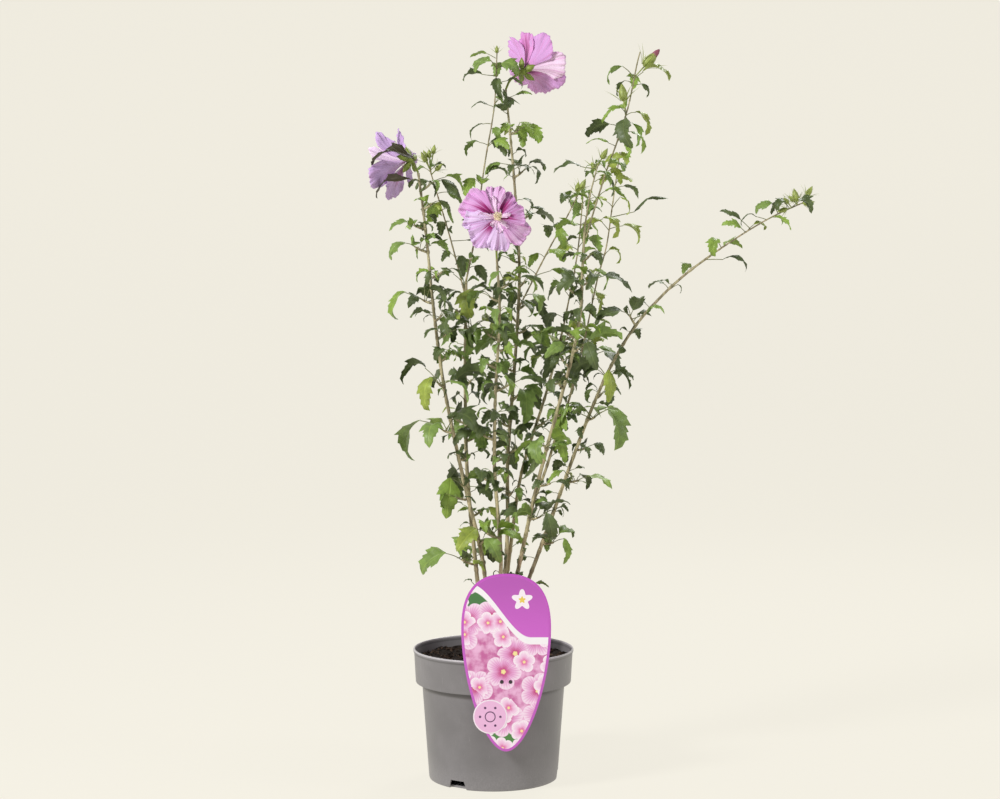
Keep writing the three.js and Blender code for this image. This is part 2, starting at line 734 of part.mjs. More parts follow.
function potSolid() {
  const collarFoot = POT_HEIGHT - COLLAR_HEIGHT;
  const body = turned([
    [0, 0], [FOOT_RADIUS - 1.5, 0], [FOOT_RADIUS, 1.5], [SHOULDER_RADIUS, collarFoot - 1],
    [COLLAR_FOOT_RADIUS - 1, collarFoot], [COLLAR_FOOT_RADIUS, collarFoot + 1],
    [RIM_RADIUS - 0.4, POT_HEIGHT - 2], [RIM_RADIUS, POT_HEIGHT - 1], [RIM_RADIUS - 0.8, POT_HEIGHT],
    [RIM_RADIUS - WALL, POT_HEIGHT], [COLLAR_FOOT_RADIUS - WALL, collarFoot + WALL],
    [SHOULDER_RADIUS - WALL, collarFoot + WALL - 1], [FOOT_RADIUS - WALL, FLOOR], [0, FLOOR],
  ], POT_SIDES);
  const half = NOTCH_WIDTH / 2;
  const halfTop = NOTCH_TOP_WIDTH / 2;
  const notch = new THREE.Shape([
    new THREE.Vector2(-half, -1), new THREE.Vector2(half, -1),
    new THREE.Vector2(halfTop, NOTCH_HEIGHT), new THREE.Vector2(-halfTop, NOTCH_HEIGHT),
  ]);
  const cuts = NOTCH_HEADINGS.map((heading) => {
    const geometry = new THREE.ExtrudeGeometry(notch, { depth: 20, bevelEnabled: false });
    geometry.translate(0, 0, FOOT_RADIUS - 8);
    geometry.rotateX(Math.PI / 2);
    geometry.rotateZ(rad(heading + 90));
    return solid(geometry);
  });
  return body.subtract(fuse(cuts));
}

function soilSolid() {
  const collarFoot = POT_HEIGHT - COLLAR_HEIGHT;
  const slack = WALL + GAP + 0.1;
  const edge = SOIL_LEVEL - SOIL_EDGE_DROP;
  const widening = ((RIM_RADIUS - COLLAR_FOOT_RADIUS) * (edge - collarFoot)) / COLLAR_HEIGHT;
  const edgeRadius = COLLAR_FOOT_RADIUS - slack + widening;
  return turned([
    [0, FLOOR + GAP], [FOOT_RADIUS - slack - 0.4, FLOOR + GAP],
    [SHOULDER_RADIUS - slack - 0.3, collarFoot + WALL],
    [COLLAR_FOOT_RADIUS - slack - 0.5, collarFoot + WALL + GAP], [edgeRadius - 0.6, edge - 2],
    [edgeRadius - 4, edge], [70, SOIL_LEVEL - 1.5], [CROWN_RADIUS + 8, SOIL_LEVEL], [0, SOIL_LEVEL],
  ], SOIL_SIDES);
}

function labelSolid() {
  const w = LABEL_HALF_WIDTH;
  const outline = new THREE.Shape();
  outline.moveTo(0, 0);
  outline.bezierCurveTo(w * 0.74, 0, w, -LABEL_SHOULDER * 0.4, w, -LABEL_SHOULDER);
  outline.bezierCurveTo(w, -LABEL_SHOULDER * 2, w * 0.48, -LABEL_HEIGHT, 0, -LABEL_HEIGHT);
  outline.bezierCurveTo(-w * 0.48, -LABEL_HEIGHT, -w, -LABEL_SHOULDER * 2, -w, -LABEL_SHOULDER);
  outline.bezierCurveTo(-w, -LABEL_SHOULDER * 0.4, -w * 0.74, 0, 0, 0);
  const cut = { depth: LABEL_THICKNESS, bevelEnabled: false, curveSegments: LABEL_CURVE_STEPS };
  const card = new THREE.ExtrudeGeometry(outline, cut);
  card.rotateX(Math.PI / 2);
  card.translate(LABEL_X, LABEL_BACK_Y, LABEL_TOP);
  const round = [LABEL_DISC_RADIUS, LABEL_DISC_RADIUS, LABEL_THICKNESS, LABEL_DISC_SIDES];
  const disc = new THREE.CylinderGeometry(...round);
  disc.translate(LABEL_X + LABEL_DISC_X, LABEL_BACK_Y - LABEL_THICKNESS / 2, LABEL_DISC_Z);
  const over = POT_HEIGHT + GAP;
  const tongue = new THREE.Shape([
    [LABEL_BACK_Y - 1, over], [TONGUE_Y, over], [TONGUE_Y, SOIL_LEVEL + 0.6],
    [TONGUE_Y + LABEL_THICKNESS, SOIL_LEVEL + 0.6], [TONGUE_Y + LABEL_THICKNESS, over + LABEL_THICKNESS],
    [LABEL_BACK_Y - 1, over + LABEL_THICKNESS],
  ].map(([y, z]) => new THREE.Vector2(y, z)));
  const strip = new THREE.ExtrudeGeometry(tongue, { depth: TONGUE_WIDTH, bevelEnabled: false });
  strip.translate(0, 0, -TONGUE_WIDTH / 2);
  strip.rotateY(Math.PI / 2);
  strip.rotateX(Math.PI / 2);
  return fuse([solid(card), solid(disc), solid(strip)]);
}

// ---- Assembly --------------------------------------------------------------------------------

const limbs = {};
for (const [name, { path, r }] of Object.entries(CANES)) {
  limbs[name] = course(path.map(vec), CANE_STEPS, r[0], r[1]);
}
const boughStart = sideStart(limbs[BOUGH.on], BOUGH.at, BOUGH.heading);
limbs[BOUGH.name] = course([boughStart.start, ...BOUGH.path.map(vec)], CANE_STEPS, BOUGH.r[0], BOUGH.r[1]);
limbs[BOUGH.name][0].tangent = boughStart.out;

function crownSolid() {
  const foot = SOIL_LEVEL + GAP;
  const solids = [turned([
    [0, foot], [CROWN_RADIUS, foot], [CROWN_RADIUS - 7, foot + 6], [CROWN_RADIUS - 12, CROWN_TOP],
    [0, CROWN_TOP + 1],
  ], CROWN_SIDES)];
  for (const name of Object.keys(CANES)) {
    const { point, tangent, radius } = limbs[name][0];
    const top = point.clone().addScaledVector(tangent, -GAP);
    const bottom = point.clone().addScaledVector(tangent, -STUB_LENGTH);
    solids.push(tube(course([bottom, top], 1, radius * 1.25, radius), STUB_SIDES));
  }
  return fuse(solids);
}

for (const [name, limb] of Object.entries(limbs)) {
  fixedRooms.push({ ...courseRoom(limb), own: caneName(name) });
}
for (const bloom of BLOOMS) {
  fixedRooms.push(bloomRoom(bloom));
  fixedRooms.push({ ...courseRoom(bloomLine(bloom)), own: bloom.name });
}
const shootLines = SHOOTS.map(shootLine);
shootLines.forEach((line, i) => fixedRooms.push({ ...courseRoom(line), own: SHOOTS[i].name }));

const group = new THREE.Group();
group.name = "rose_of_sharon";

const container = new THREE.Group();
container.name = "container";
container.add(piece("pot", potSolid(), COLOURS.pot, 0.55));
container.add(piece("potting_soil", soilSolid(), COLOURS.soil, 0.95));
container.add(piece("plant_label", labelSolid(), COLOURS.label, 0.4));

const wood = new THREE.Group();
wood.name = "wood";
wood.add(piece("root_crown", crownSolid(), COLOURS.crown, 0.85));
for (const [name, limb] of Object.entries(limbs)) {
  wood.add(piece(caneName(name), tube(limb, CANE_SIDES), COLOURS.bark, 0.8));
}

const foliage = new THREE.Group();
foliage.name = "foliage";
SHOOTS.forEach((shoot, i) => {
  const mass = shootMass(shoot, shootLines[i]);
  foliage.add(piece(mass.name, fuse(mass.solids), COLOURS.youngLeaf, 0.65));
});
TUFTS.forEach((row, order) => {
  const mass = tuft(row, order);
  foliage.add(piece(mass.name, fuse(mass.solids), COLOURS.leaf, 0.65));
});

const blossom = new THREE.Group();
blossom.name = "blossom";
for (const bloom of BLOOMS) {
  const mass = bloomMass(bloom, bloomLine(bloom));
  blossom.add(piece(mass.name, fuse(mass.solids), COLOURS.petal, 0.6));
}

group.add(container, wood, foliage, blossom);

export default group;
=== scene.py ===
import math

import bpy
import numpy as np
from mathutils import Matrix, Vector, noise


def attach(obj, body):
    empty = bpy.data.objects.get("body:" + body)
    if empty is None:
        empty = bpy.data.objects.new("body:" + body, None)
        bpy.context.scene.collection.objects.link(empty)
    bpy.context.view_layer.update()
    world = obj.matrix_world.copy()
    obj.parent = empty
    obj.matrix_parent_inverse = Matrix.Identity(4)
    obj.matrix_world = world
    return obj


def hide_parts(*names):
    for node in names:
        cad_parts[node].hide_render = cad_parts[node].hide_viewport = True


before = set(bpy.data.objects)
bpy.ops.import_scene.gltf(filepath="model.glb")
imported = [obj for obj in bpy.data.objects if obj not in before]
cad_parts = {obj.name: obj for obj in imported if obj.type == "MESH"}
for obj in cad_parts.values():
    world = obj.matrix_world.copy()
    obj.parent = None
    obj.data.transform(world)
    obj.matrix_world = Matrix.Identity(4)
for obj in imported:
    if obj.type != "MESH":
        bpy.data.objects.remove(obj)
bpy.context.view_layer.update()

bl_info = {
    "name": "Potted Rose of Sharon",
    "version": (1, 0, 0),
    "blender": (4, 5, 0),
    "location": "View3D > Sidebar > Plant",
    "description": "Bark, leaves, buds, blooms, pot, soil and label for a young flowering shrub",
    "category": "Object",
}

MM = 0.001
UP = np.array([0.0, 0.0, 1.0])

# ---- Sizes of the plant and its pot, in millimetres ----

GAP = 0.3
POT_HEIGHT = 185
RIM_RADIUS = 115
COLLAR_HEIGHT = 48
COLLAR_FOOT_RADIUS = 111.5
SHOULDER_RADIUS = 102.4
FOOT_RADIUS = 92
WALL = 2
FLOOR = 3
NOTCH_HEIGHT = 12
NOTCH_WIDTH = 30
NOTCH_TOP_WIDTH = 22
NOTCH_HEADINGS = [-123, -3, 117]
SOIL_LEVEL = 167
SOIL_EDGE_RISE = 3

LABEL_HEIGHT = 245
LABEL_HALF_WIDTH = 62
LABEL_SHOULDER = 75
LABEL_THICKNESS = 2
LABEL_TOP = 307
LABEL_X = 18
LABEL_BACK_Y = -115.5
LABEL_DISC_RADIUS = 23.5
LABEL_DISC_X = -22
LABEL_DISC_Z = 110
TONGUE_WIDTH = 30
TONGUE_Y = -109.8

CROWN_RADIUS = 26
CROWN_TOP = 183
CANE_FOOT = 191
STUB_LENGTH = 14
CANE_STEPS = 10
BARK_FLATS = 0.95

# Canes: way points, and the radius at the foot and at the tip
CANES = {
    "a": ([[-12, 6, CANE_FOOT], [-26, 4, 307], [-38, 18, 438], [-41, 30, 568], [-40, 38, 712]],
          3.5, 2.2),
    "b": ([[-9, -6, CANE_FOOT], [-13, -8, 297], [-43, -24, 431], [-69, -42, 557], [-84, -56, 670],
           [-94, -66, 775], [-105, -74, 862]], 3.4, 1.7),
    "c": ([[1, -10, CANE_FOOT], [11, -14, 310], [2, -28, 436], [3, -42, 550], [9, -54, 659],
           [5, -62, 742]], 3.2, 1.8),
    "d": ([[-3, 13, CANE_FOOT], [19, 10, 302], [20, 30, 437], [29, 48, 567], [38, 62, 699],
           [34, 72, 810], [26, 80, 914], [18, 86, 996]], 3.4, 1.6),
    "e": ([[12, -5, CANE_FOOT], [36, -10, 300], [64, -24, 427], [95, -40, 543], [121, -52, 649],
           [126, -60, 740], [129, -64, 790]], 3.4, 1.7),
    "f": ([[16, 5, CANE_FOOT], [57, 0, 299], [96, -6, 407], [140, -14, 527], [190, -20, 629],
           [252, -24, 702], [310, -24, 748]], 3.3, 1.7),
    "h": ([[8, 15, CANE_FOOT], [26, 20, 337], [42, 42, 436], [78, 66, 549], [103, 82, 643]],
          3.2, 1.7),
}
BOUGH = dict(
    name="e2", on="e", at=400, heading=70,
    path=[[75, -4, 440], [90, 8, 486], [107, 18, 532], [133, 30, 629]], r=(2.3, 1.6),
)

# Leafy shoots: on a cane's tip, or on its side at a height and heading
SHOOTS = [
    dict(name="shoot_a_right", on="a", path=[[-27, 50, 778], [-14, 62, 878], [1, 72, 970],
         [5, 80, 1050]], r=1.7, step=52, whorl=3, leaf=42, buds=0, seed=11),
    dict(name="shoot_a_left", on="a", at=696, heading=200,
         path=[[-61, 24, 768], [-76, 8, 820], [-92, -2, 874]],
         r=1.5, step=36, whorl=2, leaf=38, buds=2, seed=23),
    dict(name="shoot_g", on="d", at=676, heading=-10,
         path=[[80, 40, 757], [104, 26, 800], [122, 14, 836]],
         r=1.5, step=36, whorl=2, leaf=42, buds=1, seed=31),
    dict(name="shoot_h", on="h", path=[[124, 94, 750], [133, 98, 838]],
         r=1.6, step=36, whorl=2, leaf=42, buds=0, seed=47),
    dict(name="shoot_e_left", on="e", path=[[137, -67, 836], [147, -68, 874]],
         r=1.5, step=28, whorl=2, leaf=32, buds=2, seed=53),
    dict(name="shoot_e_top", on="e", at=772, heading=10,
         path=[[158, -60, 862], [174, -58, 906], [190, -56, 956], [202, -55, 1014],
              [207, -54, 1034]],
         r=1.6, step=44, whorl=3, leaf=46, buds=0, seed=61),
    dict(name="shoot_i", on="e2", path=[[151, 40, 712], [165, 50, 762], [174, 57, 820],
         [186, 66, 902]], r=1.4, step=36, whorl=2, leaf=46, buds=0, seed=71),
    dict(name="shoot_f", on="f", path=[[355, -22, 778], [400, -18, 804], [444, -14, 824]],
         r=1.5, step=40, whorl=2, leaf=38, buds=3, seed=83),
]

# Leaf tufts on short spurs: cane, height, heading, leaves, length and hang of the first leaf
TUFTS = [
    ("a", 304, 195, 6, 54, 40), ("a", 412, -130, 6, 62, 60), ("a", 480, 20, 6, 50, 15),
    ("a", 642, -20, 7, 50, 15), ("a", 684, -80, 6, 50, 60),
    ("b", 335, -70, 6, 46, 20), ("b", 496, 180, 6, 70, 60), ("b", 562, 245, 6, 60, 80),
    ("b", 630, 0, 7, 50, 45), ("b", 680, 180, 6, 52, 50), ("b", 752, 175, 6, 40, 10),
    ("b", 784, 200, 6, 32, 30), ("b", 838, 20, 6, 40, 20),
    ("c", 345, -80, 6, 50, 35), ("c", 425, 195, 7, 50, 20), ("c", 486, 190, 7, 52, 20),
    ("c", 556, 15, 6, 50, 20), ("c", 628, 160, 7, 60, 40), ("c", 700, -30, 7, 46, 25),
    ("d", 462, -30, 7, 66, 65), ("d", 538, -60, 7, 66, 45), ("d", 618, -40, 7, 66, 55),
    ("d", 672, 0, 6, 54, 25), ("d", 800, 0, 5, 42, 30), ("d", 866, -30, 5, 36, 35),
    ("d", 930, 20, 6, 40, 40),
    ("e", 372, -40, 6, 50, 60), ("e", 472, -100, 6, 52, 25), ("e", 612, -60, 7, 60, 45),
    ("e", 706, 0, 7, 50, 25), ("e2", 596, -30, 7, 54, 60),
    ("f", 335, -10, 6, 42, 65), ("f", 424, -10, 6, 48, 25), ("f", 514, -55, 7, 66, 50),
    ("f", 572, -85, 6, 54, 75), ("f", 648, -150, 6, 50, 30), ("h", 600, -90, 7, 60, 35),
]
FIRST_TUFT_SEED = 101

# Blooms: each on a stalk from its cane's tip; the way it faces, its radius, how far it is open
BLOOMS = [
    dict(name="bloom_left", on="b", path=[[-111, -74, 874]], centre=[-118, -72, 880],
         face=[-0.7, 0.68, -0.12], radius=66, open=56, seed=201, tone="petal_violet",
         ruffle=0.018),
    dict(name="bloom_middle", on="c", path=[[4, -72, 770], [5, -86, 790]],
         centre=[6, -100, 797], face=[0.02, -0.98, 0.12], radius=48.5, open=84, seed=202,
         tone="petal", ruffle=0.045),
    dict(name="bloom_top", on="d", path=[[26, 88, 1012]], centre=[45, 92, 1024],
         face=[0.49, 0.78, 0.38], radius=64, open=54, seed=203, tone="petal_rose",
         ruffle=0.018),
]

# Petals: turn round the bloom, length and half width, opening against the bloom's own, how much
# the corners are cut back, share of the petal that its dark eye takes, and tint: 1 is the pale one
# and 2 the lilac one
PETALS = {
    "bloom_left": [
        (80, 0.98, 14, 0, 0.8, 0.3, 0), (134, 0.92, 18, 2, 0.5, 0, 0), (162, 0.88, 20, -6, 0.4, 0, 1),
        (205, 1.0, 33, 0, 0.45, 0.2, 0), (262, 0.94, 34, -2, 0.4, 0.7, 0), (318, 0.74, 26, -4, 0.4, 0.3, 0),
        (20, 0.66, 32, 0, 0.4, 0.3, 0), (185, 0.6, 24, -22, 0.4, 0, 1),
    ],
    "bloom_middle": [
        (32, 1.16, 36, 2, 0.22, 0.72, 0), (78, 0.96, 30, -2, 0.3, 0.3, 0), (118, 0.84, 34, 4, 0.2, 0.92, 0),
        (176, 0.82, 38, 0, 0.2, 0.68, 0), (219, 1.04, 34, 4, 0.26, 0.4, 0), (262, 0.98, 32, -2, 0.26, 0, 2),
        (311, 1.03, 36, 3, 0.22, 0.6, 2), (353, 1.0, 30, -1, 0.26, 0, 2),
        (70, 0.68, 15, -12, 0.4, 0, 1), (5, 0.62, 17, -14, 0.4, 0, 1), (300, 0.36, 24, -26, 0.3, 0.3, 1),
        (266, 0.5, 24, -18, 0.3, 0, 1), (225, 0.48, 24, -18, 0.3, 0, 1), (160, 0.44, 20, -22, 0.4, 0.3, 1),
        (104, 0.3, 24, -26, 0.4, 0.3, 1), (30, 0.28, 24, -30, 0.4, 0.4, 1),
    ],
    "bloom_top": [
        (131, 1.08, 32, -2, 0.4, 0.3, 0), (100, 1.02, 31, -5, 0.4, 0.95, 0), (50, 1.0, 40, 0, 0.32, 0.25, 0),
        (6, 1.02, 36, 3, 0.3, 0, 1), (328, 1.0, 40, 0, 0.28, 0.5, 2), (284, 0.88, 40, -3, 0.3, 0.3, 0),
        (210, 0.8, 40, 0, 0.3, 0.3, 0), (72, 0.9, 38, -14, 0.3, 0.2, 1), (350, 0.8, 38, -16, 0.3, 0.2, 1),
        (170, 0.7, 32, -20, 0.3, 0.2, 1), (260, 0.6, 30, -22, 0.3, 0.2, 1),
    ],
}

# Sprays of small leaves between the tufts: cane, height, heading, leaves, length, hang
SPRAYS = [
    ("a", 372, 20, 5, 26, 30), ("a", 506, -170, 5, 30, 10), ("a", 560, -60, 6, 30, 30),
    ("a", 600, 170, 6, 28, 20), ("a", 664, 160, 6, 30, 20), ("b", 400, 200, 5, 28, 50),
    ("b", 455, 0, 5, 26, 20), ("b", 598, 20, 7, 32, 30), ("b", 655, -60, 6, 30, 30),
    ("b", 715, 0, 7, 32, 30), ("b", 812, -20, 6, 28, 30), ("c", 455, 0, 6, 30, 30),
    ("c", 520, -90, 6, 28, 30), ("c", 588, -160, 7, 32, 40), ("c", 612, 10, 7, 34, 25),
    ("c", 660, -100, 7, 32, 40), ("c", 682, 150, 7, 34, 30), ("d", 400, -60, 5, 28, 30),
    ("d", 500, 170, 6, 30, 30), ("d", 580, -160, 7, 34, 20), ("d", 636, 20, 7, 34, 20),
    ("d", 652, -120, 7, 34, 40), ("d", 704, -60, 6, 32, 40), ("d", 740, 150, 5, 26, 30),
    ("e", 420, 0, 5, 30, 40), ("e", 520, 30, 6, 30, 30), ("e", 560, -120, 6, 32, 30),
    ("e", 590, 160, 7, 36, 20), ("e", 630, 170, 7, 36, 25), ("e", 660, -90, 7, 32, 30),
    ("e", 690, 160, 6, 30, 30), ("e", 740, -60, 6, 28, 30), ("e2", 520, 20, 6, 32, 40),
    ("e2", 566, -100, 7, 34, 30), ("e2", 615, 60, 6, 30, 40), ("f", 380, -80, 5, 28, 40),
    ("f", 470, 20, 5, 30, 40), ("f", 545, 60, 5, 30, 30), ("h", 500, -40, 6, 32, 30),
    ("h", 560, 10, 7, 34, 30), ("h", 590, 150, 6, 32, 20), ("h", 625, -20, 6, 30, 30),
]
SPRAY_SEED = 401

# Leaves that stand out, by stem: height, heading, rise, length, hang, width, tint
MARKED_LEAVES = {
    "shoot_i": [(806, -12, 12, 60, -6, 0.42, 0), (848, 0, 20, 34, 45, 0.6, 0)],
    "shoot_e_left": [(868, 180, 10, 46, 12, 0.6, 0), (850, -10, 25, 34, 40, 0.8, 0)],
    "shoot_e_top": [
        (936, -90, 5, 52, 45, 1, 0), (930, 5, 15, 46, 35, 0.9, 1), (928, 180, 20, 46, 25, 0.8, 0),
        (918, -40, 10, 46, 40, 0.8, 2), (990, 180, 25, 28, 40, 0.7, 0), (986, 0, 20, 28, 30, 0.9, 0),
    ],
    "shoot_a_right": [
        (1042, 180, 30, 28, 10, 0.9, 2), (1016, 186, 5, 42, 15, 0.6, 0),
        (1010, -70, 5, 38, 55, 0.9, 0), (1002, -20, 20, 34, 20, 0.7, 0),
        (944, 184, 0, 36, 45, 0.7, 0), (936, -60, 10, 26, 30, 0.9, 1),
    ],
    "d": [(932, -12, 20, 38, 30, 1, 0), (884, 190, 10, 32, 25, 0.9, 1),
          (878, -10, 20, 28, 30, 0.7, 0)],
    "f": [(742, 0, 0, 54, 2, 0.34, 0), (700, 160, 50, 30, 0, 0.6, 0)],
    "shoot_f": [(786, 175, 45, 36, -15, 0.45, 0), (808, 178, 62, 36, 5, 0.8, 1),
                (814, 170, 75, 30, 10, 0.9, 0), (800, -60, 10, 36, 20, 0.7, 2)],
    "a": [(522, 176, 15, 26, -10, 0.9, 3)],
    "shoot_a_left": [(770, 15, 5, 40, 5, 0.4, 0), (838, -10, 10, 34, 30, 0.8, 1)],
}
MARKED_SEED = 601

# Leaves before the left bloom: stem, height, heading, turn of the blade, rise, length, hang, roll
BLOOM_LEAVES = [("bloom_left", 868, 268, -86, 18, 78, -10, -30), ("b", 851, 245, -60, 0, 74, -6, -34)]
BLOOM_LEAF_WIDTH = 0.56
BROWN_LEAF = 4

# Tint of a tuft's largest leaf, where it isn't drawn at random
FIRST_LEAF_TINTS = {
    "tuft_a_412": 2, "tuft_a_304": 1, "tuft_b_496": 1, "tuft_b_562": 3, "tuft_b_680": 2,
    "tuft_a_684": 3, "tuft_c_628": 0, "tuft_d_618": 3, "tuft_d_538": 1, "tuft_d_462": 1,
    "tuft_f_572": 3, "tuft_f_514": 1, "tuft_c_345": 3, "tuft_f_335": 2, "tuft_e_472": 1,
}

# More buds: stem, height, heading, rise, length of the stalk and of the bud
MORE_BUDS = [
    ("shoot_e_top", 998, 0, 48, 22, 30), ("shoot_e_top", 944, 150, 82, 22, 26),
    ("shoot_e_top", 872, 180, 70, 16, 18), ("shoot_e_left", 868, 170, 70, 4, 20),
    ("shoot_e_left", 806, 180, 55, 30, 15), ("shoot_e_left", 816, -100, 80, 16, 19),
    ("shoot_e_top", 806, 10, 70, 12, 20), ("shoot_e_left", 796, -130, 60, 10, 17),
    ("e", 780, -120, 70, 8, 18), ("shoot_a_left", 868, 180, 72, 22, 13),
    ("shoot_a_left", 866, 150, 84, 24, 13), ("shoot_a_left", 870, 20, 80, 26, 14),
    ("shoot_f", 820, 178, 78, 6, 20), ("shoot_f", 822, 0, 8, 5, 17),
    ("shoot_f", 816, 190, -15, 8, 15),
    ("shoot_g", 832, 60, 75, 10, 16), ("shoot_a_right", 1046, 90, 80, 5, 12),
]

# Buds of that list that show pink petals
PINK_BUDS = [0]

# Single small leaves at the canes' own nodes: spacing, height of the first over the cane's foot,
# and length of the largest
NODE_SPACING = 32
FIRST_NODE = 30
NODE_LEAF = 30
NODE_SEED = 501

# ---- Properties ----


def shade(red, green, blue):
    """A screen colour, 0 to 255, as the linear colour that a shader takes"""
    def linear(value):
        value /= 255
        return value / 12.92 if value <= 0.04045 else ((value + 0.055) / 1.055) ** 2.4
    return (linear(red), linear(green), linear(blue))


def colour_property(name, description, red, green, blue):
    """A colour that a user may change, given as a screen colour"""
    return bpy.props.FloatVectorProperty(name=name, description=description, subtype="COLOR",
                                         size=3, min=0, max=1, default=shade(red, green, blue))


class PlantColours(bpy.types.PropertyGroup):
    """The colours of the plant, its pot and its surroundings"""
    leaf_dark: colour_property("Dark leaf", "Colour of most leaves", 87, 102, 58)
    leaf_mid: colour_property("Green leaf", "Colour of the leaves that catch more light", 124, 150, 74)
    leaf_fresh: colour_property("Fresh leaf", "Colour of young leaves", 136, 164, 70)
    leaf_pale: colour_property("Pale leaf", "Colour of thin, yellowing leaves", 150, 166, 72)
    leaf_brown: colour_property("Brown leaf", "Colour of old leaves turning brown", 60, 54, 34)
    petiole: colour_property("Leaf stalk", "Colour of the leaf stalks", 122, 126, 80)
    bark_low: colour_property("Old bark", "Bark at the foot of the canes", 212, 198, 156)
    bark_high: colour_property("Young bark", "Bark near the tips of the canes", 186, 178, 142)
    petal: colour_property("Petal", "Petals of the bloom that faces front", 211, 148, 208)
    petal_violet: colour_property("Violet petal", "Petals of the bloom on the left", 214, 181, 230)
    petal_rose: colour_property("Rose petal", "Petals of the bloom at the top", 228, 156, 218)
    petal_eye: colour_property("Petal eye", "Colour at the heart of the bloom", 160, 28, 112)
    petal_tip: colour_property("Petal tip", "Colour towards the tips of half-open petals", 205, 170, 226)
    stamen: colour_property("Stamens", "Colour of the column and its stamens", 252, 226, 184)
    calyx: colour_property("Calyx", "Colour of the buds and the cups under the blooms", 138, 154, 66)
    pot: colour_property("Pot", "Colour of the pot's plastic", 132, 129, 131)
    soil: colour_property("Potting soil", "Colour of the moist soil", 52, 40, 32)
    label: colour_property("Label", "Main colour of the plant label", 200, 90, 198)
    backdrop: colour_property("Backdrop", "Colour of the floor and the wall", 240, 236, 224)


class PlantSizes(bpy.types.PropertyGroup):
    """The sizes and counts of the plant that a user may change"""
    leaf_ruffle: bpy.props.FloatProperty(
        name="Leaf ruffle", description="How wavy the leaf edges are, as a share of the leaf length",
        default=0.045, min=0, max=0.15, subtype="FACTOR")
    node_relief: bpy.props.FloatProperty(
        name="Node relief", description="How far the canes swell at each leaf node",
        default=0.0005, min=0, max=0.002, subtype="DISTANCE", unit="LENGTH")
    crumb_count: bpy.props.IntProperty(
        name="Soil crumbs", description="How many loose crumbs and bark bits lie on the soil",
        default=1100, min=0, max=4000)
    anther_count: bpy.props.IntProperty(
        name="Anthers", description="How many anthers stand round each stamen column",
        default=46, min=5, max=120)


def colours():
    return bpy.context.scene.plant_colours


def sizes():
    return bpy.context.scene.plant_sizes


# ---- The growing rule ----


class Draws:
    """One fixed sequence of numbers between 0 and 1 for each seed"""

    def __init__(self, seed):
        self.state = seed
        self()
        self()

    def __call__(self):
        self.state = (self.state * 1664525 + 1013904223) % 4294967296
        return self.state / 4294967296


def unit(vector):
    return vector / np.linalg.norm(vector)


def toward(heading, rise):
    """The direction at a heading around +Z and a rise above the level, in degrees"""
    level = math.cos(math.radians(rise))
    return np.array([math.cos(math.radians(heading)) * level,
                     math.sin(math.radians(heading)) * level, math.sin(math.radians(rise))])


class Limb:
    """A line through space, with the way it goes and its radius at each point"""

    def __init__(self, points, radii):
        self.points = points
        self.ways = np.vstack([points[1] - points[0], points[2:] - points[:-2],
                               points[-1] - points[-2]])
        self.ways /= np.linalg.norm(self.ways, axis=1, keepdims=True)
        self.radii = radii

    def finer(self, steps):
        """The limb's points and radii again, in more steps"""
        radii = np.interp(np.linspace(0, 1, steps + 1), np.linspace(0, 1, len(self.radii)), self.radii)
        return smooth_points(self.points, steps), radii


def smooth_points(way_points, steps):
    """Points along a smooth path through way points"""
    places = np.array(way_points, float)
    last = len(places) - 1
    padded = np.vstack([2 * places[0] - places[1], places, 2 * places[-1] - places[-2]])
    line = []
    for i in range(steps + 1):
        at = last * i / steps
        k = min(int(at), last - 1)
        w = at - k
        before, start, end, after = padded[k:k + 4]
        out, into = 0.5 * (end - before), 0.5 * (after - start)
        line.append(start + out * w + (-3 * start + 3 * end - 2 * out - into) * w * w
                    + (2 * start - 2 * end + out + into) * w ** 3)
    return np.array(line)


def course(way_points, steps, start_radius, end_radius):
    """A limb along a smooth path, its radius changing evenly"""
    return Limb(smooth_points(way_points, steps), np.linspace(start_radius, end_radius, steps + 1))


def at_height(limb, z):
    """The point, way and radius of a limb at a height"""
    i = 0
    while i < len(limb.points) - 2 and limb.points[i + 1][2] < z:
        i += 1
    low, high = limb.points[i], limb.points[i + 1]
    part = (z - low[2]) / (high[2] - low[2])
    radius = limb.radii[i] + (limb.radii[i + 1] - limb.radii[i]) * part
    return low + (high - low) * part, unit(high - low), radius


def side_start(limb, height, heading):
    """Where a stem begins beside a limb, just clear of its bark, and the way it leaves"""
    point, way, radius = at_height(limb, height)
    out = toward(heading, 0)
    out = unit(out - way * out.dot(way))
    return point + out * (radius * BARK_FLATS + GAP), out


def tip_start(limb):
    """Where a stem goes on from a limb's tip, and the way it leaves"""
    return limb.points[-1] + limb.ways[-1] * GAP, limb.ways[-1]


# ---- Leaves ----

LEAF_CENTRE = 0.45
PETIOLE_RADIUS = 0.65
EDGE_ROOM = 0.3
BLADE_ROOM = 0.5
LEAF_OUTLINE = [(0.38, 0.42), (0.6, 0.2), (1, 0)]
SMALL_LEAF = 36
SMALL_OUTLINE = [(0.45, 0.38), (1, 0)]


